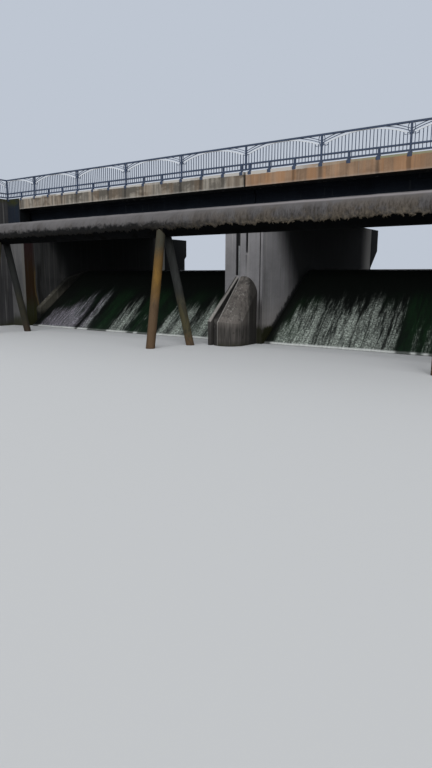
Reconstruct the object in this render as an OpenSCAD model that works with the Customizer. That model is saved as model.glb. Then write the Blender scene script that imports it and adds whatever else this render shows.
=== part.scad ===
// Two-bay overflow sluice: a centre pier, two abutments and two sloping weirs carry
// a short road bridge, and a pipe on raking legs crosses in front of them.
// X runs along the bridge, +Y is upstream and +Z is up, in millimetres.
// The origin is on the foot of the centre pier, under the middle of the deck.

/* [Bays] */
// Clear width of each bay, from the abutment to the centre pier
bay_w = 12320; // [9000:10:14000]
// Width of the bridge, from the downstream edge beam to the upstream one
deck_w = 11200; // [10500:50:12500]

/* [Centre pier] */
// Thickness of the centre pier
pier_w = 1660; // [1560:20:2200]
// Height of the pier and of the bearing seats on the abutments
seat_z = 5020; // [4800:10:5400]
// Width of the deep groove in the pier's downstream end
groove_w = 200; // [120:10:240]
// Depth of the deep groove
groove_d = 180; // [80:10:300]
// Offset of the deep groove's centre from the pier's centreline
groove_x = -250; // [-300:10:-230]
// Height of the deep groove's sill
groove_z = 2560; // [2400:10:3000]
// Width of the narrow chase beside the groove
chase_w = 100; // [60:5:140]
// Depth of the narrow chase
chase_d = 120; // [60:5:200]
// Offset of the chase's centre from the pier's centreline
chase_x = 140; // [60:10:240]
// Height at which the chase runs out to the face
chase_z = 3300; // [2800:50:3800]
// Height over which the chase runs out
chase_run = 360; // [200:20:500]
// Width of the thin reveal along the pier's bay corner
reveal_w = 40; // [20:5:60]
// Depth of the thin reveal
reveal_d = 60; // [20:5:100]
// Distance of the reveal from the corner
reveal_in = 90; // [40:5:120]
// Height of the thin reveal's foot
reveal_z = 900; // [400:20:2600]
// Diameter of the duct that stands in the deep groove
duct_d = 110; // [60:5:110]
// Height of the duct
duct_h = 1100; // [600:50:1500]
// Height of the corbels' front edges, at the upstream ends of the pier and abutments
corbel_z = 3950; // [3500:10:4400]
// How far the corbel stands out from the pier's upstream end
pier_corbel = 1050; // [850:10:1300]

/* [Cutwater] */
// How far the cutwater runs out from the pier's downstream end
nose_len = 1550; // [1300:10:2200]
// Radius of the cutwater's nose in plan
nose_r = 590; // [560:5:620]
// Offset of the cutwater's centre from the pier's centreline
nose_x = 30; // [-20:5:60]
// Height of the crown where it meets the pier
crown_z = 2530; // [2300:10:2550]
// Height of the crown's front end, above the nose
crown_front_z = 870; // [600:10:1200]
// Radius of the rounded crown
crown_r = 650; // [630:5:900]
// Thickness of the fin on the cutwater's left
fin_t = 130; // [100:5:200]
// Length of the fin
fin_l = 1475; // [1200:25:1700]
// How far the fin's front end is splayed out from its root
fin_splay = 240; // [100:10:300]
// Height of the fin's top at the pier
fin_z = 2510; // [2200:10:2550]
// Height of the fin's top at its front end
fin_front_z = 900; // [700:10:1200]
// Width of the channel between the fin and the crown, at the pier
channel_w = 70; // [40:5:120]
// Depth of the channel below the crown line, at the pier
channel_d = 520; // [400:10:700]
// Depth of the channel below the crown line, at the nose
channel_front_d = 120; // [60:10:300]

/* [Abutments] */
// Thickness of each abutment
abut_t = 920; // [800:10:1400]
// Thickness of the wall behind the bearing seat
ballast_t = 320; // [200:10:400]
// Length of the cheek block at each end of the seat
cheek_l = 600; // [450:10:650]
// Thickness of the wing walls
wing_t = 930; // [700:10:1400]
// How far the wing walls run downstream of the bridge
wing_out = 4200; // [3700:50:6000]
// How far the wing walls lap behind the abutments
wing_lap = 1000; // [500:50:2000]
// How far the abutments run upstream of the bridge
abut_up = 2200; // [1000:50:3000]
// How far a corbel stands out from each abutment's upstream end
abut_corbel = 200; // [100:10:700]

/* [Weirs] */
// Distance of the weir's toe behind the pier's downstream end
toe_in = 200; // [0:10:500]
// Slope of the weir's face, in degrees
weir_slope = 37.5; // [34:0.5:42]
// Height of the weir's crest
crest_z = 2840; // [2500:10:2900]
// Radius of the crest on its downstream side
crest_r = 1600; // [1000:50:2000]
// Radius of the crest's upstream lip
lip_r = 700; // [300:50:1000]
// Width of the curb between the weir and the abutment
curb_w = 300; // [150:10:500]
// Height of the curb above the slope
curb_h = 480; // [250:10:600]
// Distance of the curb's low end behind the toe
curb_in = 560; // [200:10:900]
// Height of the curb's level top above the crest
curb_top = 60; // [40:10:300]
// Distance of the curb's bend below the start of the crest
curb_bend_in = 750; // [400:10:900]

/* [Deck] */
// Thickness of the bearing pads
bearing_h = 60; // [30:5:100]
// Length of a bearing pad along the girder
bearing_l = 300; // [200:10:360]
// Width of a bearing pad across the girder
bearing_w = 400; // [260:10:420]
// Distance of a bearing's centre from the pier's centreline
bearing_in = 420; // [300:10:500]
// Height of the girders
girder_h = 700; // [600:10:1100]
// Width of the girder flanges
flange_w = 420; // [360:10:500]
// Thickness of the girder web
web_t = 200; // [150:10:260]
// Height of the bottom flange
foot_h = 200; // [140:10:240]
// Height of the top flange
head_h = 110; // [80:10:160]
// Number of girders in each span
girder_n = 5; // [3:1:6]
// Setback of the outer girders' faces from the edge beams
girder_in = 700; // [500:10:900]
// Thickness of the cross beams between girders
cross_t = 240; // [160:10:320]
// Thickness of the deck slab
slab_t = 300; // [220:10:340]
// Height of the edge beams
edge_h = 520; // [450:10:640]
// Thickness of the edge beams
edge_t = 300; // [220:10:400]
// Width of the drip groove under the edge beams
drip_w = 40; // [20:5:60]
// Depth of the drip groove
drip_d = 20; // [10:2:40]
// Distance of the drip groove from the beam's outer face
drip_in = 60; // [40:5:100]
// Gap between the two spans, above the pier
span_gap = 60; // [40:5:100]
// Gap between the deck and the abutments
end_gap = 30; // [20:5:60]
// Thickness of the road surface
road_t = 70; // [40:5:120]
// Width of each footway, behind the edge beam
footway_w = 1250; // [900:10:1400]
// Height of the footways above the slab
footway_h = 170; // [130:5:180]
// Width of the joint strip across the road
joint_w = 140; // [120:5:200]

/* [Railing] */
// Height of the railing above the edge beams
rail_h = 950; // [850:10:1150]
// Length of a railing panel, from post to post
panel_l = 3000; // [2400:100:3600]
// Width of a railing post
post_w = 60; // [50:2:80]
// Height of the top rail
top_rail = 60; // [45:5:80]
// Height of the lower rails
low_rail = 54; // [30:2:60]
// Height of the lower rail's centre above the edge beams
low_rail_z = 275; // [240:5:320]
// Height of the bottom rail's centre above the edge beams
bottom_rail_z = 85; // [75:5:120]
// Width of a baluster
bar_w = 22; // [16:2:28]
// Distance between balusters
bar_pitch = 120; // [100:5:150]
// Rise of the arch in each panel
arch_rise = 310; // [260:10:340]
// Distance between the arch and the lighter arcs above it
arc_pitch = 75; // [60:5:100]
// How far the lyre beside each post bulges out
lyre_out = 112; // [90:2:130]
// Height of the lyre's widest point above its foot
lyre_mid = 190; // [160:5:220]
// Thickness of the arcs and lyres
arc_t = 20; // [14:2:26]
// Distance between railing feet
foot_pitch = 1000; // [800:50:1200]
// Width of a railing foot
foot_w = 150; // [110:10:180]
// Depth of a railing foot, across the railing
foot_d = 100; // [80:5:120]
// Height of a railing foot above the edge beam
shoe_h = 20; // [10:5:40]
// Depth of the pocket that a foot stands in
foot_in = 110; // [60:10:160]
// Distance of the railing's centre from the outer face below it
rail_in = 75; // [60:5:100]

/* [Pipe crossing] */
// Diameter of the pipe
pipe_d = 860; // [700:10:1000]
// Height of the pipe's centre
pipe_z = 4290; // [4000:10:4600]
// Distance of the pipe's centre from the pier's downstream end
pipe_out = 2750; // [2500:10:3100]
// Depth of the pipe's sockets in the wing walls
socket_l = 600; // [300:10:680]
// Distance of the left trestle from the wing wall
trestle_in = 3260; // [2600:10:4500]
// Distance of the right trestle from the wing wall
right_trestle_in = 5740; // [4500:10:6500]
// Offset of the middle trestle from the pier's centreline
trestle_x = -1400; // [-1800:50:-1000]
// Diameter of the downstream legs
front_leg_d = 320; // [240:10:360]
// Diameter of the upstream legs
back_leg_d = 300; // [200:10:320]
// Distance of the downstream foot from the pipe's centreline
front_foot_out = 850; // [600:10:1100]
// Distance of the upstream foot from the pipe's centreline
back_foot_out = 850; // [600:10:1000]
// Distance between the two feet along the pipe
feet_apart = 470; // [440:10:700]
// How far the upstream leg's top stands to the left of the downstream one's
tops_apart = 210; // [180:10:300]
// Offset of the feet's middle from the trestle's place along the pipe
feet_x = 70; // [-100:10:100]
// Offset of the leg tops' middle from the trestle's place along the pipe
tops_x = -225; // [-260:5:60]
// How much further the leg tops of the outer trestles lean towards the middle
outer_lean = 180; // [0:10:250]
// Distance of the leg tops' outer sides from the pipe's flanks
leg_inset = 70; // [40:5:100]

/* [Hidden] */
$fn = 96;

// Running clearance where a round face seats in a round face
seat_gap = 0.3;
// Grout gap round the pipe in its sockets
socket_gap = 4;
// Play of a railing foot in its pocket
pocket_play = 5;

// Planes that the pieces share
down_y = -deck_w / 2;
up_y = deck_w / 2;
pier_half = pier_w / 2;
abut_in = pier_half + bay_w;
abut_out = abut_in + abut_t;
abut_up_y = up_y + abut_up;
wing_end = abut_out + wing_t;
soffit_z = seat_z + bearing_h;
slab_z = soffit_z + girder_h;
deck_z = slab_z + slab_t;
curb_line_z = slab_z + edge_h;
road_z = deck_z + road_t;
walk_z = deck_z + footway_h;
seat_l = abut_t - ballast_t;
slab_end = abut_in - end_gap;
tail_end = abut_in + seat_l - end_gap;
tail_half = deck_w / 2 - cheek_l - end_gap;

// Weir section: the slope ends just inside the round of the crest, and the crest is
// tangent to the lip
crest_bite = 2;
toe_y = down_y + toe_in;
slope_r = crest_r - crest_bite;
slope_end_z = crest_z - crest_r + slope_r * cos(weir_slope);
slope_end_y = toe_y + slope_end_z / tan(weir_slope);
crest_y = slope_end_y + slope_r * sin(weir_slope);
weir_back_y = crest_y + lip_r;
curb_y = toe_y + curb_in;
curb_bend_y = slope_end_y - curb_bend_in;

// The channel beside the crown carries the pier's deep groove on, and the fin bounds it
channel_x = groove_x + groove_w / 2;
fin_root_x = channel_x - channel_w;
fin_front_x = fin_root_x - fin_splay;
// How far the channel's sill runs on inside the crown
crown_lap = 50;

// Girder rows
girder_span = deck_w - 2 * girder_in - flange_w;
girder_step = girder_span / (girder_n - 1);
girder_end = abut_in + seat_l - 2 * end_gap;

// Railing levels and centrelines
rail_top_z = curb_line_z + rail_h;
low_rail_mid = curb_line_z + low_rail_z;
bottom_rail_mid = curb_line_z + bottom_rail_z;
under_rail_z = rail_top_z - top_rail;
arch_r = (pow(panel_l / 2, 2) + pow(arch_rise, 2)) / (2 * arch_rise);
lyre_z = under_rail_z - arch_rise;
lyre_r = (pow(lyre_out, 2) + pow(lyre_mid, 2)) / (2 * lyre_out);
return_l = wing_out - rail_in;
corner_x = abut_out + rail_in;
upstream_rail_l = abut_out - rail_in;
pocket_y = rail_in + foot_d / 2 + pocket_play;

pipe_y = down_y - pipe_out;
pipe_end = abut_out + socket_l;
front_top_out = (pipe_d - front_leg_d) / 2 - leg_inset;
back_top_out = (pipe_d - back_leg_d) / 2 - leg_inset;

// Sizes past every piece, for cutting blocks
far = 40000;

// A block between two corners
module block(low, high) {
    translate(low)
        cube(high - low);
}

// A section in Y and Z, carried along X
module along_x(x0, x1) {
    translate([x0, 0, 0])
        rotate([90, 0, 90])
            linear_extrude(x1 - x0)
                children();
}

// A section in X and Z, carried along Y
module along_y(y0, y1) {
    translate([0, y1, 0])
        rotate([90, 0, 0])
            linear_extrude(y1 - y0)
                children();
}

// Puts a right-hand piece on the right or, mirrored, on the left
module hand(side) {
    if (side < 0)
        mirror([1, 0, 0])
            children();
    else
        children();
}

// Centre pier

module pier_grooves() {
    block([groove_x - groove_w / 2, down_y - 1, groove_z],
          [groove_x + groove_w / 2, down_y + groove_d, seat_z + 1]);
    along_x(chase_x - chase_w / 2, chase_x + chase_w / 2)
        polygon([[down_y - 1, chase_z], [down_y + chase_d, chase_z + chase_run],
                 [down_y + chase_d, seat_z + 1], [down_y - 1, seat_z + 1]]);
    block([pier_half - reveal_in - reveal_w, down_y - 1, reveal_z],
          [pier_half - reveal_in, down_y + reveal_d, seat_z + 1]);
}

// A corbel that stands out from an upstream end, with its underside at 45 degrees
module corbel(x0, x1, y, out) {
    along_x(x0, x1)
        polygon([[y - out, corbel_z - 2 * out], [y + out, corbel_z], [y + out, seat_z],
                 [y - out, seat_z]]);
}

module center_pier() {
    color("lightslategray")
        difference() {
            union() {
                block([-pier_half, down_y, 0], [pier_half, up_y, seat_z]);
                translate([0, up_y, 0])
                    cylinder(r = pier_half, h = seat_z);
                corbel(-pier_half, pier_half, up_y, pier_corbel);
            }
            pier_grooves();
        }
}

module pier_duct() {
    duct_y = down_y + groove_d - duct_d / 2;
    color("gainsboro")
        union() {
            translate([groove_x, duct_y, groove_z])
                cylinder(d = duct_d, h = duct_h);
            block([groove_x - duct_d / 2, duct_y, groove_z],
                  [groove_x + duct_d / 2, down_y + groove_d, groove_z + duct_h]);
        }
}

// Cutwater

// The cutwater's outline in plan, as a prism between two values of X
module nose_prism(x0, x1) {
    intersection() {
        linear_extrude(crown_z + crown_r)
            union() {
                translate([nose_x, down_y - nose_len + nose_r])
                    circle(r = nose_r);
                translate([nose_x - nose_r, down_y - nose_len + nose_r])
                    square([2 * nose_r, nose_len - nose_r]);
            }
        block([x0, -far, 0], [x1, far, far]);
    }
}

// Everything below a line that falls from z_back at the pier to z_front at a distance
module below_line(z_back, z_front, len) {
    past = 1.2;
    along_x(-far, far)
        polygon([[down_y - past * len, 0], [down_y, 0], [down_y, z_back],
                 [down_y - past * len, z_back - past * (z_back - z_front)]]);
}

module crown_solid() {
    tilt = atan((crown_z - crown_front_z) / nose_len);
    reach = 3 * nose_len;
    translate([nose_x, down_y, crown_z])
        rotate([tilt, 0, 0])
            translate([0, 0, -crown_r])
                union() {
                    rotate([90, 0, 0])
                        cylinder(r = crown_r, h = 2 * reach, center = true);
                    translate([-crown_r, -reach, -reach])
                        cube([2 * crown_r, 2 * reach, reach]);
                }
}

// The sill of the channel, from the fin to inside the crown
module channel_sill() {
    difference() {
        intersection() {
            nose_prism(-far, channel_x + crown_lap);
            below_line(crown_z - channel_d, crown_front_z - channel_front_d, nose_len);
        }
        linear_extrude(far)
            polygon([[fin_root_x, down_y], [fin_root_x - 2 * fin_splay, down_y - 2 * fin_l],
                     [-far, down_y - 2 * fin_l], [-far, down_y]]);
    }
}

module pier_cutwater() {
    color("dimgray")
        union() {
            intersection() {
                nose_prism(channel_x, far);
                crown_solid();
            }
            channel_sill();
        }
}

module pier_fin() {
    color("gray")
        intersection() {
            linear_extrude(far)
                polygon([[fin_root_x, down_y], [fin_front_x, down_y - fin_l],
                         [fin_front_x - fin_t, down_y - fin_l], [fin_root_x - fin_t, down_y]]);
            below_line(fin_z, fin_front_z, fin_l);
        }
}

// Abutments and wing walls

module abutment(side) {
    color("darkgray")
        hand(side)
            union() {
                block([abut_in, down_y, 0], [abut_out, abut_up_y, seat_z]);
                corbel(abut_in, abut_out, abut_up_y, abut_corbel);
            }
}

// The wall behind the seat, with the cheek blocks that close its ends
module backwall(side) {
    color("slategray")
        hand(side)
            difference() {
                union() {
                    block([abut_in + seat_l, down_y, seat_z], [abut_out, up_y, road_z]);
                    for (s = [-1, 1])
                        footway_step(s);
                    for (s = [-1, 1])
                        cheek(s);
                }
                rail_pockets(down_y);
                mirror([0, 1, 0])
                    rail_pockets(down_y);
            }
}

module cheek(s) {
    y0 = s < 0 ? down_y : up_y - cheek_l;
    block([abut_in, y0, seat_z], [abut_out, y0 + cheek_l, curb_line_z]);
}

module footway_step(s) {
    inner = deck_w / 2 - edge_t - footway_w;
    y0 = s < 0 ? down_y : inner;
    y1 = s < 0 ? -inner : up_y;
    block([abut_in + seat_l, y0, seat_z], [abut_out, y1, walk_z]);
}

module wing_wall(side) {
    color("silver")
        hand(side)
            difference() {
                block([abut_out, down_y - wing_out, 0],
                      [wing_end, down_y + wing_lap, curb_line_z]);
                translate([abut_out - 1, pipe_y, pipe_z])
                    rotate([0, 90, 0])
                        cylinder(d = pipe_d + 2 * socket_gap, h = socket_l + 1);
                return_pockets();
                rail_pockets(down_y);
            }
}

// Weirs

module slope_section() {
    polygon([[toe_y, 0], [slope_end_y, slope_end_z], [crest_y, slope_end_z], [crest_y, 0]]);
}

// The round of the crest, as far as its highest point
module crest_section() {
    intersection() {
        translate([crest_y, crest_z - crest_r])
            circle(r = crest_r, $fn = 180);
        translate([crest_y - crest_r, crest_z - crest_r])
            square(crest_r);
    }
}

module lip_section() {
    translate([crest_y, crest_z - lip_r])
        circle(r = lip_r);
}

module weir_solid(x0, x1) {
    union() {
        along_x(x0, x1)
            slope_section();
        along_x(x0, x1)
            crest_section();
        along_x(x0, x1)
            lip_section();
        block([x0, crest_y - lip_r / 2, 0], [x1, crest_y + lip_r, crest_z - lip_r]);
    }
}

module weir(side) {
    color("darkolivegreen")
        hand(side)
            weir_solid(pier_half, abut_in - curb_w);
}

module weir_curb(side) {
    low = curb_in * tan(weir_slope) + curb_h;
    bend = (curb_bend_y - toe_y) * tan(weir_slope) + curb_h;
    level = max(crest_z + curb_top, bend);
    color("rosybrown")
        hand(side)
            along_x(abut_in - curb_w, abut_in)
                polygon([[curb_y, 0], [curb_y, low], [curb_bend_y, bend],
                         [crest_y, level], [weir_back_y, level], [weir_back_y, 0]]);
}

// Deck

// A layer of the deck: full width over the bay, narrower where it passes the cheeks
module layer(x0, half, z0, z1) {
    block([x0, -half, z0], [slab_end, half, z1]);
    tail = min(half, tail_half);
    block([slab_end - 1, -tail, z0], [tail_end, tail, z1]);
}

module deck_slab(side) {
    color("dimgray")
        hand(side)
            layer(span_gap / 2, deck_w / 2 - edge_t, slab_z, deck_z);
}

module road(side) {
    color("darkslategray")
        hand(side)
            layer(joint_w / 2, deck_w / 2 - edge_t - footway_w, deck_z, road_z);
}

module footways(side) {
    inner = deck_w / 2 - edge_t - footway_w;
    color("gray")
        hand(side)
            difference() {
                layer(span_gap / 2, deck_w / 2 - edge_t, deck_z, walk_z);
                block([0, -inner, 0], [far, inner, far]);
            }
}

module deck_joint() {
    inner = deck_w / 2 - edge_t - footway_w;
    color("black")
        block([-joint_w / 2, -inner, deck_z], [joint_w / 2, inner, road_z]);
}

// The edge beam of one span, with a pocket for each railing foot
module edge_beam(side, stream) {
    color("tan")
        hand(side)
            mirror([0, stream > 0 ? 1 : 0, 0])
                difference() {
                    block([span_gap / 2, down_y, slab_z],
                          [slab_end, down_y + edge_t, curb_line_z]);
                    rail_pockets(down_y);
                    block([0, down_y + drip_in, slab_z - 1],
                          [far, down_y + drip_in + drip_w, slab_z + drip_d]);
                }
}

module girder_section() {
    chamfer = (flange_w - web_t) / 2;
    wide = flange_w / 2;
    thin = web_t / 2;
    polygon([[-wide, 0], [wide, 0], [wide, foot_h - chamfer / 2], [thin, foot_h + chamfer / 2],
             [thin, girder_h - head_h - chamfer / 2], [wide, girder_h - head_h],
             [wide, girder_h], [-wide, girder_h], [-wide, girder_h - head_h],
             [-thin, girder_h - head_h - chamfer / 2], [-thin, foot_h + chamfer / 2],
             [-wide, foot_h - chamfer / 2]]);
}

function girder_row(i) = -girder_span / 2 + i * girder_step;

module girders(side) {
    color([0.1, 0.11, 0.12])
        hand(side)
            along_x(span_gap / 2, girder_end)
                for (i = [0:girder_n - 1])
                    translate([girder_row(i), soffit_z])
                        girder_section();
}

// Cross beams fill between the girders over the bearings and at mid-span
module cross_beams(side) {
    rise = foot_h;
    middle = (bearing_in + abut_in + bearing_in) / 2;
    color([0.13, 0.14, 0.15])
        hand(side)
            for (x = [bearing_in, middle, abut_in + bearing_in - end_gap])
                along_x(x - cross_t / 2, x + cross_t / 2)
                    difference() {
                        translate([-girder_span / 2, soffit_z + rise])
                            square([girder_span, girder_h - rise]);
                        for (i = [0:girder_n - 1])
                            translate([girder_row(i), soffit_z])
                                girder_section();
                    }
}

module bearings() {
    color("black")
        for (side = [-1, 1])
            hand(side)
                for (x = [bearing_in, abut_in + seat_l / 2])
                    for (i = [0:girder_n - 1])
                        translate([x - bearing_l / 2, girder_row(i) - bearing_w / 2, seat_z])
                            cube([bearing_l, bearing_w, bearing_h]);
}

// Railings, each along +X from its first post, with its centreline at y = 0

// Height of the arch's underside at a distance along the railing
function panel_u(x) = x - panel_l * floor(x / panel_l) - panel_l / 2;
function arch_z(x) = under_rail_z - arch_r + sqrt(pow(arch_r, 2) - pow(panel_u(x), 2));

module ring(r, t) {
    difference() {
        circle(r = r, $fn = 360);
        circle(r = r - t, $fn = 360);
    }
}

// How far the arcs and bars run into the posts
lap = post_w / 4;

// The arch of one panel and the lighter arcs above it, cut off at the top rail
module panel_arcs() {
    intersection() {
        union()
            for (k = [0:2])
                translate([panel_l / 2, under_rail_z - arch_r + k * arc_pitch])
                    ring(arch_r, arc_t);
        translate([lap, lyre_z - arc_t])
            square([panel_l - 2 * lap, arch_rise + arc_t + 1]);
    }
}

// The lyre: two bowed bars that leave the post together and open towards the top rail
module lyre() {
    intersection() {
        union()
            for (s = [-1, 1])
                translate([s * (lyre_out - lyre_r), lyre_z + lyre_mid])
                    ring(lyre_r + arc_t / 2, arc_t);
        translate([-2 * lyre_out, lyre_z - arc_t])
            square([4 * lyre_out, arch_rise + arc_t + 1]);
        union()
            for (s = [-1, 1])
                translate([s > 0 ? 0 : -2 * lyre_out, lyre_z - arc_t])
                    square([2 * lyre_out, arch_rise + arc_t + 1]);
    }
}

// Posts stand at every panel, with the last one at the end of the run
function post_places(len) =
    concat([for (x = [panel_l:panel_l:len - panel_l / 4]) x], [len]);

function foot_places(len) =
    concat([for (x = [foot_pitch:foot_pitch:len - foot_pitch / 4]) x], [len]);

module lattice(len) {
    intersection() {
        union() {
            for (p = [0:panel_l:len])
                translate([p, 0])
                    panel_arcs();
            for (x = [bar_pitch:bar_pitch:len])
                if (abs(x - panel_l * round(x / panel_l)) > bar_pitch / 2)
                    translate([x - bar_w / 2, bottom_rail_mid])
                        square([bar_w, arch_z(x) - bottom_rail_mid - arc_t / 2]);
        }
        translate([lap, 0])
            square([len - lap, rail_top_z]);
    }
    for (x = post_places(len))
        if (x < len)
            translate([x, 0])
                lyre();
}

module rail_bar(x0, x1, mid, size) {
    block([x0, -size / 2, mid - size / 2], [x1, size / 2, mid + size / 2]);
}

module railing_run(start, len, first_post) {
    union() {
        intersection() {
            along_y(-bar_w / 2, bar_w / 2)
                lattice(len);
            block([start, -far, 0], [far, far, far]);
        }
        rail_bar(start, len, rail_top_z - top_rail / 2, top_rail);
        rail_bar(start, len, low_rail_mid, low_rail);
        rail_bar(start, len, bottom_rail_mid, low_rail);
        for (x = concat(first_post ? [0] : [], post_places(len)))
            block([x - post_w / 2, -post_w / 2, bottom_rail_mid],
                  [x + post_w / 2, post_w / 2, rail_top_z]);
    }
}

// A foot: a short post on a shoe that stands in its pocket
module rail_foot() {
    block([-foot_w / 2, -foot_d / 2, curb_line_z - foot_in],
          [foot_w / 2, foot_d / 2, curb_line_z + shoe_h]);
    block([-post_w / 2, -post_w / 2, curb_line_z],
          [post_w / 2, post_w / 2, low_rail_mid]);
}

module rail_feet(places) {
    for (x = places)
        translate([x, 0, 0])
            rail_foot();
}

// Pockets for the feet, cut from the outer face of what the railing stands on
module pockets(places) {
    for (x = places)
        block([x - foot_w / 2 - pocket_play, -1, curb_line_z - foot_in],
              [x + foot_w / 2 + pocket_play, pocket_y, curb_line_z + 1]);
}

// The first foot stands beside the gap between the spans
first_foot = span_gap / 2 + foot_w;
downstream_feet = concat([first_foot], foot_places(corner_x));
upstream_feet = concat([first_foot], foot_places(upstream_rail_l));
return_feet = foot_places(return_l);

module rail_pockets(face_y) {
    translate([0, face_y, 0])
        pockets(concat(downstream_feet, upstream_feet));
}

// The return railing runs from the corner post along the wing wall
module on_return() {
    translate([corner_x, down_y + rail_in, 0])
        rotate([0, 0, -90])
            children();
}

module return_pockets() {
    on_return()
        for (x = return_feet)
            block([x - foot_w / 2 - pocket_play, -pocket_y, curb_line_z - foot_in],
                  [x + foot_w / 2 + pocket_play, rail_in + 1, curb_line_z + 1]);
}

module downstream_railing(side) {
    color("steelblue")
        hand(side)
            translate([0, down_y + rail_in, 0])
                union() {
                    railing_run(side < 0 ? 0 : post_w / 2, corner_x, side < 0);
                    rail_feet(downstream_feet);
                }
}

module upstream_railing(side) {
    color("steelblue")
        hand(side)
            translate([0, up_y - rail_in, 0])
                union() {
                    railing_run(side < 0 ? 0 : post_w / 2, upstream_rail_l, side < 0);
                    rail_feet(upstream_feet);
                }
}

module return_railing(side) {
    color("steelblue")
        hand(side)
            on_return()
                union() {
                    railing_run(post_w / 2, return_l, false);
                    rail_feet(return_feet);
                }
}

// Pipe crossing

module pipe_body(extra, reach) {
    translate([-reach, pipe_y, pipe_z])
        rotate([0, 90, 0])
            cylinder(d = pipe_d + 2 * extra, h = 2 * reach);
}

module crossing_pipe() {
    color("gray")
        pipe_body(0, pipe_end);
}

// A raking leg from its foot to the underside of the pipe, which it is cut to fit
// Its seam is turned sideways, clear of the highest point of the saddle
module raking_leg(foot, top, d) {
    run = top - foot;
    len = norm(run);
    lean = acos(run[2] / len);
    turn = atan2(run[1], run[0]);
    difference() {
        intersection() {
            translate(foot)
                rotate([0, lean, turn])
                    rotate([0, 0, 90])
                        translate([0, 0, -len / 2])
                            cylinder(d = d, h = 1.5 * len);
            block([-far, -far, 0], [far, far, pipe_z]);
        }
        pipe_body(seat_gap, far / 2);
    }
}

// Places of the left, middle and right trestles along the pipe
function trestle_at(i) =
    i < 0 ? trestle_in - abut_out : i > 0 ? abut_out - right_trestle_in : trestle_x;

module front_leg(i) {
    foot_x = trestle_at(i) + feet_x - feet_apart / 2;
    top_x = trestle_at(i) + tops_x - i * outer_lean + tops_apart / 2;
    color("peru")
        raking_leg([foot_x, pipe_y - front_foot_out, 0],
                   [top_x, pipe_y - front_top_out, pipe_z], front_leg_d);
}

module back_leg(i) {
    foot_x = trestle_at(i) + feet_x + feet_apart / 2;
    top_x = trestle_at(i) + tops_x - i * outer_lean - tops_apart / 2;
    color("darkkhaki")
        raking_leg([foot_x, pipe_y + back_foot_out, 0],
                   [top_x, pipe_y + back_top_out, pipe_z], back_leg_d);
}

center_pier();
pier_cutwater();
pier_fin();
pier_duct();
abutment(-1);  // left_abutment
abutment(1);  // right_abutment
backwall(-1);  // left_backwall
backwall(1);  // right_backwall
wing_wall(-1);  // left_wing_wall
wing_wall(1);  // right_wing_wall
weir(-1);  // left_weir
weir(1);  // right_weir
weir_curb(-1);  // left_weir_curb
weir_curb(1);  // right_weir_curb
deck_slab(-1);  // left_deck_slab
deck_slab(1);  // right_deck_slab
edge_beam(-1, -1);  // downstream_left_edge_beam
edge_beam(1, -1);  // downstream_right_edge_beam
edge_beam(-1, 1);  // upstream_left_edge_beam
edge_beam(1, 1);  // upstream_right_edge_beam
girders(-1);  // left_girders
girders(1);  // right_girders
cross_beams(-1);  // left_cross_beams
cross_beams(1);  // right_cross_beams
bearings();
footways(-1);  // left_footways
footways(1);  // right_footways
road(-1);  // left_road
road(1);  // right_road
deck_joint();
downstream_railing(-1);  // downstream_left_railing
downstream_railing(1);  // downstream_right_railing
upstream_railing(-1);  // upstream_left_railing
upstream_railing(1);  // upstream_right_railing
return_railing(-1);  // left_return_railing
return_railing(1);  // right_return_railing
crossing_pipe();
front_leg(-1);  // left_trestle_front_leg
back_leg(-1);  // left_trestle_back_leg
front_leg(0);  // middle_trestle_front_leg
back_leg(0);  // middle_trestle_back_leg
front_leg(1);  // right_trestle_front_leg
back_leg(1);  // right_trestle_back_leg
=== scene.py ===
import math

import bpy
import numpy as np
from bpy.props import FloatProperty, FloatVectorProperty, IntProperty, PointerProperty
from mathutils import Matrix, Vector


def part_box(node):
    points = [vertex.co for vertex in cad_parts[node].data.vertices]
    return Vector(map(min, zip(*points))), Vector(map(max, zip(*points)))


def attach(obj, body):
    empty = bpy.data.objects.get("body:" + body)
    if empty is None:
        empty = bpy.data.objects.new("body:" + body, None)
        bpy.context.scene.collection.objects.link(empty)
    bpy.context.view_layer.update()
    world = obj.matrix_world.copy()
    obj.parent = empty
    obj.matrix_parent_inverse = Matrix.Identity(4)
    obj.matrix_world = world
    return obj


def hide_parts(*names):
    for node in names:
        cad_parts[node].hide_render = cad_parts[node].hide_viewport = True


bl_info = {
    "name": "Overflow sluice finisher",
    "version": (1, 0, 0),
    "blender": (4, 5, 0),
    "location": "3D View > Sidebar > Sluice",
    "description": "Gives an overflow sluice its weathered concrete, rusted legs and wrapped pipe",
    "category": "Object",
}

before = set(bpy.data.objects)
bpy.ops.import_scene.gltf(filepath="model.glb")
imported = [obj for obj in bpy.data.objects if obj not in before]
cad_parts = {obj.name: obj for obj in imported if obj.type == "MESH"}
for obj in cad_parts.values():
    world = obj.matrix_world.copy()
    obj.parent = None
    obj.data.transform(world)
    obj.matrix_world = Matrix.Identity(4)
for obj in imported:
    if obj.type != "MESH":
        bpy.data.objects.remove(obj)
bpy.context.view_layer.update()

SIDES = ("left", "right")
STREAMS = ("downstream", "upstream")

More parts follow.
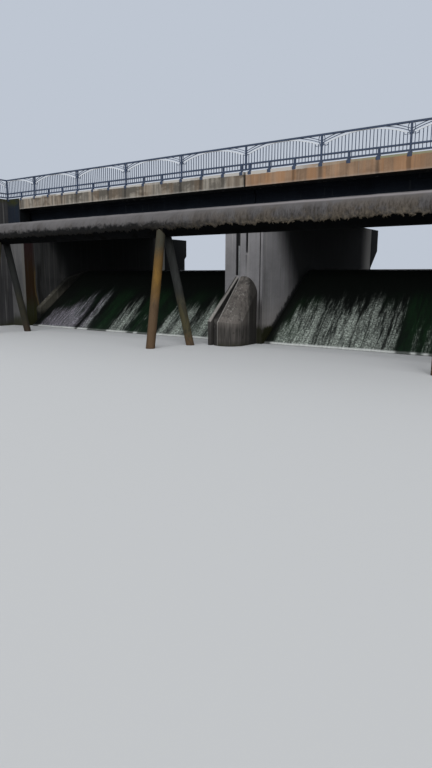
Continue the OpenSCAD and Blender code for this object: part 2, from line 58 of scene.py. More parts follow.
# Middle, half width, reach up the face and strength of each bundle of streaks on the weirs
STREAK_BUNDLES = (
    (-12.1, 0.30, 0.9, 0.7), (-11.45, 0.45, 1.6, 0.8), (-10.75, 0.45, 2.3, 0.9),
    (-10.15, 0.32, 3.4, 0.9), (-9.2, 0.30, 3.6, 0.9), (-7.3, 0.24, 2.0, 0.9),
    (-6.85, 0.24, 2.8, 0.9), (-5.8, 0.06, 1.5, 0.8), (-4.35, 0.24, 1.9, 1.0),
    (-3.6, 0.42, 2.2, 1.0), (-2.45, 0.34, 2.6, 1.0), (-1.85, 0.18, 1.6, 0.8),
    (1.45, 0.30, 1.5, 0.85), (2.0, 0.40, 2.6, 0.9), (2.5, 0.30, 3.1, 1.0),
    (3.25, 0.28, 3.3, 0.8), (3.95, 0.30, 3.3, 0.85), (4.6, 0.32, 3.7, 1.0),
    (5.4, 0.42, 3.2, 0.8), (6.45, 0.04, 2.4, 0.9), (6.85, 0.04, 2.8, 0.9),
    (8.1, 0.55, 2.6, 0.9), (9.4, 0.40, 3.0, 0.9), (10.3, 0.25, 2.2, 0.8),
    (11.6, 0.60, 1.8, 0.8), (3.6, 2.20, 2.45, 0.82), (-11.0, 1.30, 1.9, 0.50),
    (-6.9, 0.60, 1.7, 0.50), (-3.0, 1.35, 1.9, 0.55), (9.0, 1.40, 2.4, 0.50))
# Middle and half width of the strips where algae grow thickest
ALGAE_STRIPS = ((-8.1, 0.45), (-5.8, 0.60), (6.5, 0.65), (10.9, 0.35))


def paint(red, green, blue):
    """Turns a display colour of 0 to 255 into the linear colour that shaders use."""
    def linear(value):
        share = value / 255
        return share / 12.92 if share <= 0.04045 else ((share + 0.055) / 1.055) ** 2.4
    return (linear(red), linear(green), linear(blue))


def colour(name, description, shade):
    """A colour setting whose default is given as a display colour."""
    return FloatVectorProperty(name=name, description=description, subtype="COLOR",
                               size=3, min=0, max=1, default=paint(*shade))


def length(name, description, size, low=0.0, high=100.0):
    """A size setting in metres."""
    return FloatProperty(name=name, description=description, default=size,
                         min=low, max=high, unit="LENGTH", precision=4)


# Settings

class ConcreteSettings(bpy.types.PropertyGroup):
    """Colours of the concrete, of what has run down and grown on it, and of the light and shade
    painted on it.
    """
    pier: colour("Pier", "Clean concrete of the centre pier", (146, 145, 148))
    cutwater: colour("Cutwater", "Worn concrete of the cutwater and its fin", (109, 104, 100))
    abutment: colour("Abutment", "Concrete of the abutments", (106, 106, 107))
    wing: colour("Wing wall", "Concrete of the wing walls", (71, 71, 73))
    cheek: colour("Cheek blocks", "Slate-dark concrete behind the seats", (33, 41, 53))
    left_beam: colour("Left edge beams", "Grey-beige face of the left span's beams", (168, 161, 150))
    right_beam: colour("Right edge beams", "Ochre face of the right span's beams", (170, 141, 116))
    beam_rim: colour("Beam rim", "Pale band along the top of the edge beams", (205, 202, 197))
    # Nearly black: the soffit's dirt together with painted shade under the deck.
    slab: colour("Slab", "Soffit of the deck slab", (20, 22, 26))
    # Partly painted shade: the girders' own stain and the shade under the deck are both in this
    # colour.
    girder: colour("Girders", "Nearly black, stained faces of the girders", (26, 31, 39))
    curb: colour("Weir curbs", "Concrete of the curbs beside the weirs", (84, 82, 74))
    weir: colour("Weir face", "Wet, nearly black face of the weirs", (9, 12, 10))
    weir_green: colour("Weir algae", "Algae on the weirs", (16, 40, 20))
    weir_scale: colour("Weir scale", "Pale streaks that widen towards the toe", (214, 226, 216))
    footway: colour("Footway", "Concrete of the footways", (146, 144, 139))
    asphalt: colour("Asphalt", "Worn road surface", (84, 84, 86))
    # Also the painted shade on the cutwater's right flank and on its fin.
    drip_and_shade: colour("Dark streaks", "Dirt that has run down the walls", (44, 43, 42))
    # Also painted light: lit strips on the bay sides and abutment corners, and highlights on the
    # cutwater.
    lime: colour("Pale streaks", "Lime that has run down the walls", (186, 184, 180))
    # Nearly black: a real damp layer on the walls, and also painted shade deep in the bays, in grooves
    # and recesses, and on all that lies under the deck.
    film_and_shade: colour("Film", "Black film on the walls deep in the bays", (7, 10, 11))
    moss: colour("Moss", "Growth in the damp zones", (52, 54, 28))
    rust: colour("Rust stain", "Stain below steel and along the bay corners", (92, 66, 40))


class SteelSettings(bpy.types.PropertyGroup):
    """Colours of the railing, the pipe and its legs."""
    railing: colour("Railing", "Navy paint of the railing", (50, 64, 88))
    arch: colour("Railing arch", "Pale paint of each panel's arch", (240, 243, 246))
    wrap: colour("Pipe wrap", "Weathered mortar wrap of the pipe", (92, 90, 91))
    wrap_dirt: colour("Pipe wrap dirt", "Brown dirt in the pipe wrap", (62, 56, 49))
    wrap_rim: colour("Pipe wrap rim", "Pale broken edge of the wrap", (150, 139, 122))
    bitumen: colour("Bitumen", "Bare underside of the pipe", (4, 5, 6))
    leg_orange: colour("Leg rust", "Orange rust of the downstream legs", (124, 94, 44))
    leg_brown: colour("Leg scale", "Brown scale on the downstream legs", (92, 74, 56))
    leg_pale: colour("Leg bloom", "Pale bloom on the leg heads", (64, 64, 55))
    leg_grey: colour("Grey legs", "Old paint of the upstream legs", (52, 54, 53))
    leg_olive: colour("Leg olive", "Olive growth on the upstream legs", (74, 70, 50))
    # Also the painted shade along the duct's edges.
    rubber: colour("Rubber", "Bearings and joint strip", (24, 24, 25))
    duct: colour("Duct", "Pale duct in the pier's groove", (158, 160, 162))


class WeirSettings(bpy.types.PropertyGroup):
    """Shape of the weirs' worn faces."""
    slope: FloatProperty(name="Slope", description="Slope of the face", subtype="ANGLE",
                         default=math.radians(37.5), min=0.5, max=0.8)
    crest_radius: length("Crest radius", "Radius of the crest, downstream", 1.6)
    lip_radius: length("Lip radius", "Radius of the crest, upstream", 0.7)
    relief: length("Relief", "Height of the worn ribs at the toe", 0.030)
    rib: length("Rib width", "Width of the worn ribs", 0.34)
    step: length("Mesh step", "Distance between mesh points", 0.05)


class WrapSettings(bpy.types.PropertyGroup):
    """Shape of the pipe's ragged wrap."""
    thickness: length("Thickness", "Thickness of the wrap", 0.016)
    reach: FloatProperty(name="Reach", description="Angle from the top to the ragged edge",
                         subtype="ANGLE", default=math.radians(116), min=1.0, max=3.0)
    ragged: FloatProperty(name="Raggedness", description="Depth of the ragged edge",
                          subtype="ANGLE", default=math.radians(15), min=0.0, max=0.6)
    lumps: length("Lumps", "Unevenness of the wrap", 0.010)
    tatters: IntProperty(name="Tatters", description="Number of strips that hang from the edge",
                         default=260, min=0, max=800)


class TrimSettings(bpy.types.PropertyGroup):
    """Sizes of the small pieces on the deck."""
    nut: length("Nut", "Width of a nut across its flats", 0.036)
    stone: length("Kerb stone", "Length of a kerb stone", 1.0)
    stone_joint: length("Kerb joint", "Joint between kerb stones", 0.012)
    stone_width: length("Kerb width", "Width of a kerb stone", 0.15)


class StageSettings(bpy.types.PropertyGroup):
    """Where the camera stands, and how the stage is lit."""
    camera_place: FloatVectorProperty(name="Camera", description="Place of the camera",
                                      subtype="XYZ", unit="LENGTH", size=3,
                                      default=(11.80, -24.52, 2.40))
    camera_yaw: FloatProperty(name="Yaw", description="Turn to the left of +Y",
                              subtype="ANGLE", default=math.radians(34.557))
    camera_pitch: FloatProperty(name="Pitch", description="Tilt below the horizon",
                                subtype="ANGLE", default=math.radians(10.272))
    camera_roll: FloatProperty(name="Roll", description="Roll about the view direction",
                               subtype="ANGLE", default=math.radians(0.333))
    camera_lens: FloatProperty(name="Lens", description="Focal length in millimetres",
                               default=27.05, min=10, max=200)
    backdrop: colour("Backdrop", "Colour behind the object", (190, 198, 210))
    floor: colour("Floor", "Colour of the floor", (196, 198, 200))
    floor_shade: colour("Floor shade", "Floor as it lights the object", (38, 38, 33))
    sky_light: FloatProperty(name="Sky light", description="Strength of the even light",
                             default=0.44, min=0, max=3)
    key_light: FloatProperty(name="Key light", description="Strength of the soft main lamp",
                             default=1.75, min=0, max=10)


SETTINGS = {
    "sluice_concrete": ConcreteSettings,
    "sluice_steel": SteelSettings,
    "sluice_weir": WeirSettings,
    "sluice_wrap": WrapSettings,
    "sluice_trim": TrimSettings,
    "sluice_stage": StageSettings,
}


# Node trees

class Value:
    """What a node puts out. Arithmetic on it adds Math nodes."""

    def __init__(self, web, socket):
        self.web = web
        self.socket = socket

    def __add__(self, other):
        return self.web.math("ADD", self, other)

    def __radd__(self, other):
        return self.web.math("ADD", other, self)

    def __sub__(self, other):
        return self.web.math("SUBTRACT", self, other)

    def __rsub__(self, other):
        return self.web.math("SUBTRACT", other, self)

    def __mul__(self, other):
        return self.web.math("MULTIPLY", self, other)

    def __truediv__(self, other):
        return self.web.math("DIVIDE", self, other)

    def __rtruediv__(self, other):
        return self.web.math("DIVIDE", other, self)

    def __abs__(self):
        return self.web.math("ABSOLUTE", self)

    def at_least(self, other):
        return self.web.math("MAXIMUM", self, other)

    def at_most(self, other):
        return self.web.math("MINIMUM", self, other)

    def fade(self, low, high, start=0.0, end=1.0):
        """Goes smoothly from start to end while the value rises from low to high."""
        inputs = {"Value": self, "From Min": low, "From Max": high, "To Min": start, "To Max": end}
        return self.web.put("Result", "ShaderNodeMapRange", inputs, interpolation_type="SMOOTHSTEP")

    def fall(self, low, high):
        """Goes smoothly from one to none while the value rises from low to high."""
        return self.fade(low, high, 1.0, 0.0)


class Web:
    """Adds nodes to a node tree and joins them. Patterns read its place unless told otherwise."""

    def __init__(self, tree):
        self.tree = tree
        self.place = None

    def node(self, kind, inputs=None, **settings):
        made = self.tree.nodes.new(kind)
        for key, value in settings.items():
            setattr(made, key, value)
        for key, value in (inputs or {}).items():
            self.feed(made.inputs[key], value)
        return made

    def put(self, output, kind, inputs=None, **settings):
        """One output of a new node, as a value."""
        return Value(self, self.node(kind, inputs, **settings).outputs[output])

    def feed(self, socket, value):
        if isinstance(value, Value):
            self.tree.links.new(value.socket, socket)
        elif socket.type == "RGBA":
            socket.default_value = (*value[:3], 1)
        else:
            socket.default_value = value

    def math(self, operation, first, second=0.0, clamp=False):
        return self.put(0, "ShaderNodeMath", {0: first, 1: second}, operation=operation,
                        use_clamp=clamp)

    def mix(self, share, first, second):
        return self.put(2, "ShaderNodeMix", {0: share, 6: first, 7: second}, data_type="RGBA")

    def stretch(self, vector, factors, shift=(0, 0, 0)):
        inputs = {"Vector": vector, "Scale": factors, "Location": shift}
        return self.put("Vector", "ShaderNodeMapping", inputs)

    def noise(self, scale, detail=4.0, roughness=0.55, twist=0.0, on=None, shift=(0, 0, 0)):
        """Noise of one scale, or drawn out by three scales and moved by a shift."""
        vector = on or self.place
        if isinstance(scale, tuple):
            vector = self.stretch(vector, scale, shift)
            scale = 1.0
        inputs = {"Vector": vector, "Scale": scale, "Detail": detail,
                  "Roughness": roughness, "Distortion": twist}
        return self.put("Fac", "ShaderNodeTexNoise", inputs)

    def cells(self, scale, on=None, feature="F1"):
        inputs = {"Vector": on or self.place, "Scale": scale}
        return self.put("Distance", "ShaderNodeTexVoronoi", inputs, feature=feature)

    def chance(self, number):
        """A random value for each whole number."""
        return self.put("Value", "ShaderNodeTexWhiteNoise", {"W": number}, noise_dimensions="1D")

    def split(self, vector=None):
        made = self.node("ShaderNodeSeparateXYZ", {0: vector or self.place})
        return [Value(self, socket) for socket in made.outputs]

    def join(self, x=0.0, y=0.0, z=0.0):
        return self.put(0, "ShaderNodeCombineXYZ", {0: x, 1: y, 2: z})

    def group(self, name, **inputs):
        inputs.setdefault("Vector", self.place)
        made = self.node("ShaderNodeGroup", node_tree=bpy.data.node_groups[name])
        for key, value in inputs.items():
            self.feed(made.inputs[key], value)
        return {socket.name: Value(self, socket) for socket in made.outputs}


def start_group(name, inputs, outputs):
    """An empty shader node group that reads a vector and the named values."""
    tree = bpy.data.node_groups.new(name, "ShaderNodeTree")
    tree.interface.new_socket("Vector", in_out="INPUT", socket_type="NodeSocketVector")
    for direction, labels in (("INPUT", inputs), ("OUTPUT", outputs)):
        for label in labels:
            tree.interface.new_socket(label, in_out=direction, socket_type="NodeSocketFloat")
    web = Web(tree)
    given = {socket.name: Value(web, socket)
             for socket in web.node("NodeGroupInput").outputs if socket.name}
    web.place = given["Vector"]
    return web, given, web.node("NodeGroupOutput").inputs


def build_streaks():
    """Runs of dirt: noise drawn out along Z, cut off at a level, and gathered in patches."""
    web, given, out = start_group("vertical_streaks", ("Width", "Length", "Cover", "Seed"),
                                  ("Mask",))
    across = 1.0 / given["Width"]
    along = 1.0 / given["Length"]
    seed = web.join(given["Seed"], given["Seed"], given["Seed"])
    scale = web.join(across, across, along)
    drawn = web.put(0, "ShaderNodeVectorMath", {0: given["Vector"], 1: scale}, operation="MULTIPLY")
    moved = web.put(0, "ShaderNodeVectorMath", {0: drawn, 1: seed}, operation="ADD")
    fine = web.noise(1.0, 4.0, 0.52, 0.3, on=moved)
    level = 0.8 - given["Cover"] * 0.45
    runs = fine.fade(level - 0.13, level + 0.13)
    patches = web.noise(0.23, 2.0, on=moved).fade(0.34, 0.62)
    web.feed(out["Mask"], runs * patches)


def build_level_band():
    """One below a wandering level and none above it."""
    web, given, out = start_group("level_band", ("Level", "Fade", "Wander"), ("Mask",))
    height = web.split()[2]
    wide = web.noise(0.9, 5.0, 0.65) - 0.5
    level = given["Level"] + wide * (given["Wander"] * 2.0)
    low = level - given["Fade"]
    web.feed(out["Mask"], height.fall(low, level))


def build_concrete_grain():
    """Tone, pores and fine relief of old cast concrete."""
    web, given, out = start_group("concrete_grain", ("Patch", "Board"), ("Tone", "Pores", "Height"))
    size = 1.0 / given["Patch"]
    patch = web.noise(size, 6.0, 0.62, 0.4)
    sand = web.noise(26.0, 6.0, 0.7)
    pits = web.cells(17.0)
    pores = pits.fall(0.06, 0.16) * web.noise(3.1, 3.0).fade(0.46, 0.6)
    parts = web.split()
    course = parts[2] / given["Board"]
    edge = abs(web.math("FRACT", course) - 0.5)
    seams = edge.fade(0.488, 0.5)
    board = web.chance(web.math("FLOOR", course))
    tone = (patch - 0.5) * 1.5 + (sand - 0.5) * 0.5
    tone = tone + (board - 0.5) * 0.16
    web.feed(out["Tone"], web.math("ADD", tone, 0.5, clamp=True))
    web.feed(out["Pores"], pores)
    height = sand * 0.35 + patch * 0.5
    height = height - pores * 0.35
    web.feed(out["Height"], height + seams * 0.25)


def build_foot_stains():
    """Stains below the railing feet, which stand at every metre, and a tone for each metre."""
    web, given, out = start_group("foot_stains", ("Pitch", "Width"), ("Mask", "Tone"))
    parts = web.split()
    place = abs(parts[0]) / given["Pitch"]
    nearest = web.math("ROUND", place)
    away = abs(place - nearest) * given["Pitch"]
    wavy = web.noise((7, 7, 1.4), 4.0)
    away = away + (wavy - 0.5) * 0.16
    stain = away.fall(given["Width"] * 0.3, given["Width"])
    strength = web.chance(nearest)
    web.feed(out["Mask"], stain * strength.fade(0.05, 0.8, 0.25, 1.0))
    web.feed(out["Tone"], web.chance(web.math("FLOOR", place)))


def build_rust_bloom():
    """Patches of rust: coarse noise sets where, and fine noise sets how bright."""
    web, given, out = start_group("rust_bloom", ("Scale", "Cover"), ("Mask", "Tone", "Height"))
    coarse = web.noise(given["Scale"], 5.0, 0.65, 0.5)
    level = 0.75 - given["Cover"] * 0.5
    web.feed(out["Mask"], coarse.fade(level - 0.06, level + 0.06))
    fine = web.noise(given["Scale"] * 9.0, 6.0, 0.7)
    web.feed(out["Tone"], fine)
    web.feed(out["Height"], fine * 0.5 + coarse * 0.5)


GROUP_BUILDERS = (build_streaks, build_level_band, build_concrete_grain, build_foot_stains,
                  build_rust_bloom)


class Coat(Web):
    """A finish in the making: its nodes, and its colour, roughness and relief so far."""

    def __init__(self, name):
        self.material = bpy.data.materials.new(name)
        self.material.use_nodes = True
        super().__init__(self.material.node_tree)
        self.shader = self.tree.nodes["Principled BSDF"]
        self.place = self.put("Object", "ShaderNodeTexCoord")
        self.concrete = bpy.context.scene.sluice_concrete
        self.steel = bpy.context.scene.sluice_steel

    def ground(self, share, shade, dark, light):
        """Starts the colour: from a darker to a lighter tone of the shade."""
        self.body = self.mix(share, darker(shade, dark), darker(shade, light))

    def stain(self, share, colour):
        """Covers a share of the colour so far with another one."""
        self.body = self.mix(share, self.body, colour)

    def finish(self, rough, height, depth=0.01, strength=0.6, gloss=0.5):
        """Feeds the colour, roughness and relief into the Principled BSDF."""
        inputs = self.shader.inputs
        self.feed(inputs["Base Color"], self.body)
        self.feed(inputs["Specular IOR Level"], gloss)
        self.feed(inputs["Roughness"], rough)
        relief = {"Height": height, "Distance": depth, "Strength": strength}
        self.feed(inputs["Normal"], self.put("Normal", "ShaderNodeBump", relief))
        return self.material


def darker(shade, share):
    """The shade with each of its parts times the share."""
    return tuple(part * share for part in shade)


# Concrete

def weathered(name, shade, patch=1.3, board=1.2, dirt=0.5, dirt_width=0.22, lime=0.3,
              moss_level=0.5, moss_fade=0.6, moss_wander=0.5, extra=None):
    """Cast concrete with runs of dirt and lime, and growth below a level."""
    coat = Coat(name)
    tints = coat.concrete
    grain = coat.group("concrete_grain", Patch=patch, Board=board)
    coat.ground(grain["Tone"], shade, 0.62, 1.22)
    coat.stain(grain["Pores"] * 0.6, darker(shade, 0.3))
    long_runs = coat.group("vertical_streaks", Width=dirt_width, Length=dirt_width * 16, Cover=dirt,
                           Seed=3.1)["Mask"]
    thin_runs = coat.group("vertical_streaks", Width=dirt_width * 0.3, Length=dirt_width * 9,
                           Cover=dirt, Seed=9.7)["Mask"]
    pale_runs = coat.group("vertical_streaks", Width=dirt_width * 0.6, Length=dirt_width * 20,
                           Cover=lime, Seed=17.3)["Mask"]
    coat.stain(pale_runs * 0.55, tints.lime)
    coat.stain(long_runs * 0.6, tints.drip_and_shade)
    coat.stain(thin_runs * 0.55, tints.drip_and_shade)
    damp = coat.group("level_band", Level=moss_level, Fade=moss_fade, Wander=moss_wander)["Mask"]
    clumps = coat.noise(5.0, 6.0, 0.7).fade(0.32, 0.58)
    coat.stain(damp * (clumps * 0.5 + 0.42), tints.moss)
    coat.rough = 0.93 - (long_runs + damp) * 0.14
    if extra:
        extra(coat)
    height = grain["Height"] - damp * 0.15
    return coat.finish(coat.rough, height, depth=0.012, strength=0.55, gloss=0.15)


def corner_rust_and_light(coat):
    """A band of brown-olive stain down each abutment's bay side, with a yellow far edge, and painted
    light on the side's first few centimetres next to the end face.
    """
    tints = coat.concrete
    x, y, z = coat.split()
    corner_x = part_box("right_abutment")[0][0]
    face_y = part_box("right_abutment")[0][1]
    side = abs(abs(x) - corner_x).fall(0.004, 0.012)
    waver = (coat.noise((2, 2, 0.7), 4.0) - 0.5) * 0.3
    depth = y - face_y + waver
    depth = depth - z.fade(0.4, 2.0, 0.25, 0.0)
    into = y - face_y
    near = depth.fall(0.66, 0.8) * side
    near = near * into.fade(0.12, 0.16)
    # Painted light: the side's first 12 to 16 centimetres next to the end face are lightened like the
    # lit end face.
    corner = (side - side * into.fade(0.12, 0.16)) * z.fade(0.7, 1.4)
    coat.stain(corner * 0.4, tints.lime)
    runs = coat.noise((16, 16, 0.8), 4.0).fade(0.38, 0.58)
    stain = coat.mix(z.fade(0.7, 1.8), darker(tints.moss, 0.8), darker(tints.rust, 0.3))
    stain = coat.mix(z.fade(2.6, 4.2), stain, paint(44, 26, 27))
    coat.stain(near * (0.68 + runs * 0.3), stain)
    edge = abs(depth - 0.7).fall(0.01, 0.05)
    edge = edge * side * z.fall(2.4, 3.2)
    coat.stain(edge * 0.7, paint(104, 88, 54))
    after = abs(depth - 0.98).fall(0.08, 0.2)
    after = after * side * z.fall(2.9, 3.4)
    coat.stain(after * 0.75, darker(tints.drip_and_shade, 0.4))
    foot = (z + waver * 3.0).fall(0.25, 0.7)
    coat.stain(foot * 0.7, darker(tints.moss, 0.6))


def bay_side(node, start, deep, wet, least=0.0):
    """Painted shade that blackens a wall's side deeper into the bay, over a real damp layer, with
    painted light on a strip near the upstream end, and a wet band just above the weir.

    The weir's surface stands (y - toe) times the tangent of its slope high, up to its crest.
    """
    def add(coat):
        tints = coat.concrete
        x, y, z = coat.split()
        low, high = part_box(node)
        weir_low, weir_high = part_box("right_weir")
        plane = low[0] if low[0] > 0 else high[0]
        off_plane = abs(abs(x) - plane)
        side = off_plane.fall(0.004, 0.012)
        waver = (coat.noise((1, 3, 0.3), 4.0) - 0.5) * 0.8
        # Painted shade: the darkening starts nearer the front higher up, where the deck's shadow
        # falls; least keeps some of it over the whole side.
        higher = (z - 3.3) * 0.5
        film_and_shade = (y + waver + higher).fade(low[1] + start, low[1] + deep)
        film_and_shade = film_and_shade.at_least(y.fade(low[1] + deep, low[1] + deep + 0.7))
        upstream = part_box("upstream_left_edge_beam")[1][1]
        # Painted light: a strip near the upstream end, past the deck's shadow, is lightened with the
        # lime colour.
        lit = (y + waver * 0.5).fade(upstream - 1.5, upstream - 0.3)
        lit = lit * y.fall(upstream, upstream + 0.06)
        film_and_shade = film_and_shade.at_least(least)
        film_and_shade = film_and_shade * (1.0 - lit * 0.92)
        coat.stain(lit * side * 0.6, tints.lime)
        coat.stain(film_and_shade * side * 0.96, tints.film_and_shade)
        slope = math.tan(bpy.context.scene.sluice_weir.slope)
        surface = ((y - weir_low[1]) * slope).at_most(weir_high[2])
        over = z - surface
        ragged = (coat.noise(5.0, 5.0, 0.7) - 0.5) * 0.5
        band = (over + ragged).fall(0.12, 0.34)
        band = band * y.fall(weir_high[1] - 0.1, weir_high[1])
        band = band * (side * wet)
        coat.stain(band * 0.92, tints.film_and_shade)
        along = (y - (weir_low[1] + 0.3)) / 0.5
        up = (z - 0.22) / 0.42
        away = along * along + up * up
        away = away + ragged * 3.0
        lump = away.fall(0.7, 1.3) * (side * wet)
        mottle = coat.noise(14.0, 5.0, 0.7).fade(0.42, 0.62)
        growth = coat.mix(mottle, darker(tints.moss, 0.45), darker(tints.moss, 1.5))
        coat.stain(lump * 0.95, growth)
        coat.rough = coat.rough - band * 0.08
    return add


def pier_extra(coat):
    """The bay sides, painted shade in the corner reveal and in the first groove, a darker patch in the
    second groove, and beige splashes near the pier's foot.
    """
    tints = coat.concrete
    low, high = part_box("center_pier")
    x, y, z = coat.split()
    splash = (z + coat.noise(2.0, 4.0)).fall(0.9, 2.6)
    coat.stain(splash * 0.16, paint(150, 132, 108))
    bay_side("center_pier", 0.9, 2.7, 1.0)(coat)
    # Painted shade in the recess of the corner reveal, just behind the end face.
    inside = y.fade(low[1] + 0.012, low[1] + 0.05) * abs(x).fall(high[0] - 0.07, high[0] - 0.05)
    inside = inside * y.fall(low[1] + 0.25, low[1] + 0.3)
    coat.stain(inside * 0.9, tints.film_and_shade)
    across = abs(x)
    ragged = (coat.noise((3, 3, 2), 5.0) - 0.5) * 0.5
    # Painted shade in the first groove, deeper higher up.
    slot_shade = x.fade(high[0] - 0.135, high[0] - 0.125) * x.fall(high[0] - 0.095, high[0] - 0.085)
    slot_shade = slot_shade * z.fade(1.2, 3.6, 0.45, 0.92)
    coat.stain(slot_shade, tints.film_and_shade)
    below = z.fade(2.5, 3.25) * z.fall(3.3, 3.36)
    chase = abs(x - 0.125).fall(0.02, 0.05)
    coat.stain(chase * below * 0.45, tints.drip_and_shade)
    strip = across.fade(0.6, 0.66) * y.fall(low[1] + 0.01, low[1] + 0.03)
    strip = strip * (z + ragged).fall(1.3, 2.0)
    coat.stain(strip * 0.75, tints.drip_and_shade)
    foot = (z + ragged).fall(0.5, 0.8) * y.fall(low[1] + 0.7, low[1] + 1.1)
    coat.stain(foot * 0.88, darker(tints.moss, 0.35))


def abutment_extra(coat):
    """The bay sides with painted shade, and stains and painted light along the bay corners."""
    bay_side("right_abutment", 0.5, 3.0, 0.0, least=0.72)(coat)
    corner_rust_and_light(coat)


def top_moss(level, depth):
    """Growth along the top of a wall, thinning out downwards."""
    def add(coat):
        tints = coat.concrete
        below = coat.group("level_band", Level=level - depth * 0.4, Fade=depth,
                           Wander=depth)["Mask"]
        clumps = coat.noise(4.0, 6.0, 0.72).fade(0.35, 0.6)
        share = (1.0 - below) * (0.3 + clumps * 0.6)
        coat.stain(share, tints.moss)
    return add


def cheek_extra(top):
    """Thin growth along the top, and painted shade, nearly black, on all that lies under the deck."""
    def add(coat):
        tints = coat.concrete
        top_moss(top, 0.3)(coat)
        low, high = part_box("right_backwall")
        y = abs(coat.split()[1])
        # Painted shade on the faces under the deck.
        shaded = y.fall(high[1] - 0.03, high[1] - 0.01)
        shaded = shaded * coat.split()[2].fall(top - 0.3, top - 0.1)
        coat.stain(shaded * 0.94, tints.film_and_shade)
    return add


def curb_extra(coat):
    """Painted shade on the curbs' upper ends, which lie under the deck, and a black wet layer on their
    feet.
    """
    tints = coat.concrete
    z = coat.split()[2]
    ragged = (coat.noise(3.0, 4.0) - 0.5) * 0.5
    level = z + ragged
    foot = level.fall(0.55, 0.95)
    # Painted shade: the upper ends under the deck are blackened like the wet feet.
    film_and_shade = level.fade(1.35, 2.2).at_least(foot)
    coat.stain(film_and_shade * 0.9, tints.film_and_shade)


def cutwater_extra(coat):
    """Painted shade on the right flank and the fin's sides, a painted shadow beside the fin's top,
    painted highlights on the fin's top and the crown's edge, a darker front and spots of lichen.
    """
    tints = coat.concrete
    x, y, z = coat.split()
    low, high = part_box("pier_cutwater")
    fin_low, fin_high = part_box("pier_fin")
    ragged = (coat.noise((4, 4, 1), 5.0) - 0.5) * 0.3
    # Painted shade on the right flank.
    seen = x + (y - high[1]) * 0.66
    flank_shade = (seen + ragged * 0.6).fade(0.1, 0.34)
    coat.stain(flank_shade * 0.82, darker(tints.drip_and_shade, 0.45))
    front = (z + ragged).fall(0.55, 0.95)
    comb = coat.noise((15, 15, 0.8), 4.0).fade(0.35, 0.65)
    coat.stain(front * (0.42 + comb * 0.4), tints.drip_and_shade)
    dark = coat.cells(2.6).fall(0.08, 0.16)
    pale = coat.cells(1.7, on=coat.stretch(coat.place, (1, 1, 1), (4, 2, 7))).fall(0.04, 0.1)
    coat.stain(dark * 0.5, tints.drip_and_shade)
    coat.stain(pale * 0.6, tints.lime)
    fall = (fin_high[2] - 0.9) / (fin_high[1] - fin_low[1])
    fin_top = (y - fin_low[1]) * fall + 0.9
    left = x.fall(-0.156, -0.149)
    rim = (z - fin_top).fade(-0.05, -0.015)
    # Painted shade on the fin's sides, black further upstream.
    fin_shade = coat.mix((y + ragged * 1.5).fade(low[1] + 0.15, low[1] + 0.4), darker(tints.drip_and_shade, 1.6),
                     tints.film_and_shade)
    # Painted highlight along the crown's left edge.
    lit_brink = x.fade(-0.15, -0.146) * x.fall(-0.12, -0.1)
    lit_brink = lit_brink * z.fade(0.6, 0.95, 0.5, 1.0)
    coat.stain(lit_brink * 0.45, tints.lime)
    coat.stain(left * (0.78 - rim * 0.78), fin_shade)
    # Painted highlight on the fin's top.
    coat.stain(left * rim * 0.35, tints.lime)
    # Painted shadow along the outer edge of the fin's top.
    inner = (y - high[1]) * 0.163 + -0.22
    outer = (x - inner).fall(-0.085, -0.06)
    outer = outer * left * (z + ragged).fade(1.5, 1.9)
    coat.stain(outer * 0.8, darker(tints.drip_and_shade, 0.6))


def beam_face(side):
    """Fields of changing tone, thin runs below the feet, a pale top band, a pale foot, and painted
    shade on the faces under the deck.
    """
    left = side == "left"
    def add(coat):
        tints = coat.concrete
        shade = tints.left_beam if left else tints.right_beam
        x, y, z = coat.split()
        foot, top = (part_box(f"downstream_{side}_edge_beam")[i][2] for i in (0, 1))
        stains = coat.group("foot_stains", Pitch=1.0, Width=0.09)
        field = coat.noise((1.3, 1.3, 1.6), 5.0, 0.62, 0.4, shift=(3.7, 0, 0))
        field = field + (stains["Tone"] - 0.5) * 0.15
        level = z.fade(foot, top, 0.08, -0.02) if left else 0.04
        field = (field - level).fade(0.4, 0.58)
        coat.stain(field * (0.84 if left else 0.26), darker(shade, 0.26))
        comb = coat.noise((11, 11, 0.5), 4.0).fade(0.45, 0.62)
        coat.stain(comb * (0.7 if left else 0.24), darker(shade, 0.3))
        tan = coat.noise((2.6, 2.6, 0.2), 3.0, shift=(9, 0, 0)).fade(0.44, 0.62)
        coat.stain(tan * (0.16 if left else 0.5), paint(*((150, 112, 70) if left else (182, 136, 97))))
        coat.stain(stains["Mask"] * (0.62 if left else 0.5), tints.drip_and_shade)
        ragged = coat.noise((5, 5, 2), 4.0)
        low = (z + ragged * 0.08).fall(foot + 0.04, foot + 0.12)
        coat.stain(low * (0.32 if left else 0.2), tints.beam_rim)
        deep = x.fade(-8, 0, 0.055, 0.08) if left else x.fade(2.6, 4.4, 0.1, 0.05)
        under = z + ragged * 0.05 - (top - deep)
        band = under.fade(-0.005, 0.02)
        band = band * (1.0 - stains["Mask"] * 0.8)
        gaps = coat.noise((0.9, 0.9, 0.9), 3.0, shift=(2, 0, 0)).fade(0.44, 0.52)
        if not left:
            gaps = gaps.at_least(x.fall(1.8, 3.0))
        band = band * (0.35 + gaps * 0.65)
        rim = coat.mix(x.fade(2.0, 5.0), tints.beam_rim, paint(150, 150, 122))
        coat.stain(band * 0.9, rim)
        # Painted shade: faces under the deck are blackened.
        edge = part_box(f"downstream_{side}_edge_beam")[0][1]
        shaded = abs(y).fall(-edge - 0.03, -edge - 0.01)
        shaded = shaded * z.fall(top - 0.3, top - 0.1)
        coat.stain(shaded * 0.92, tints.film_and_shade)
    return add


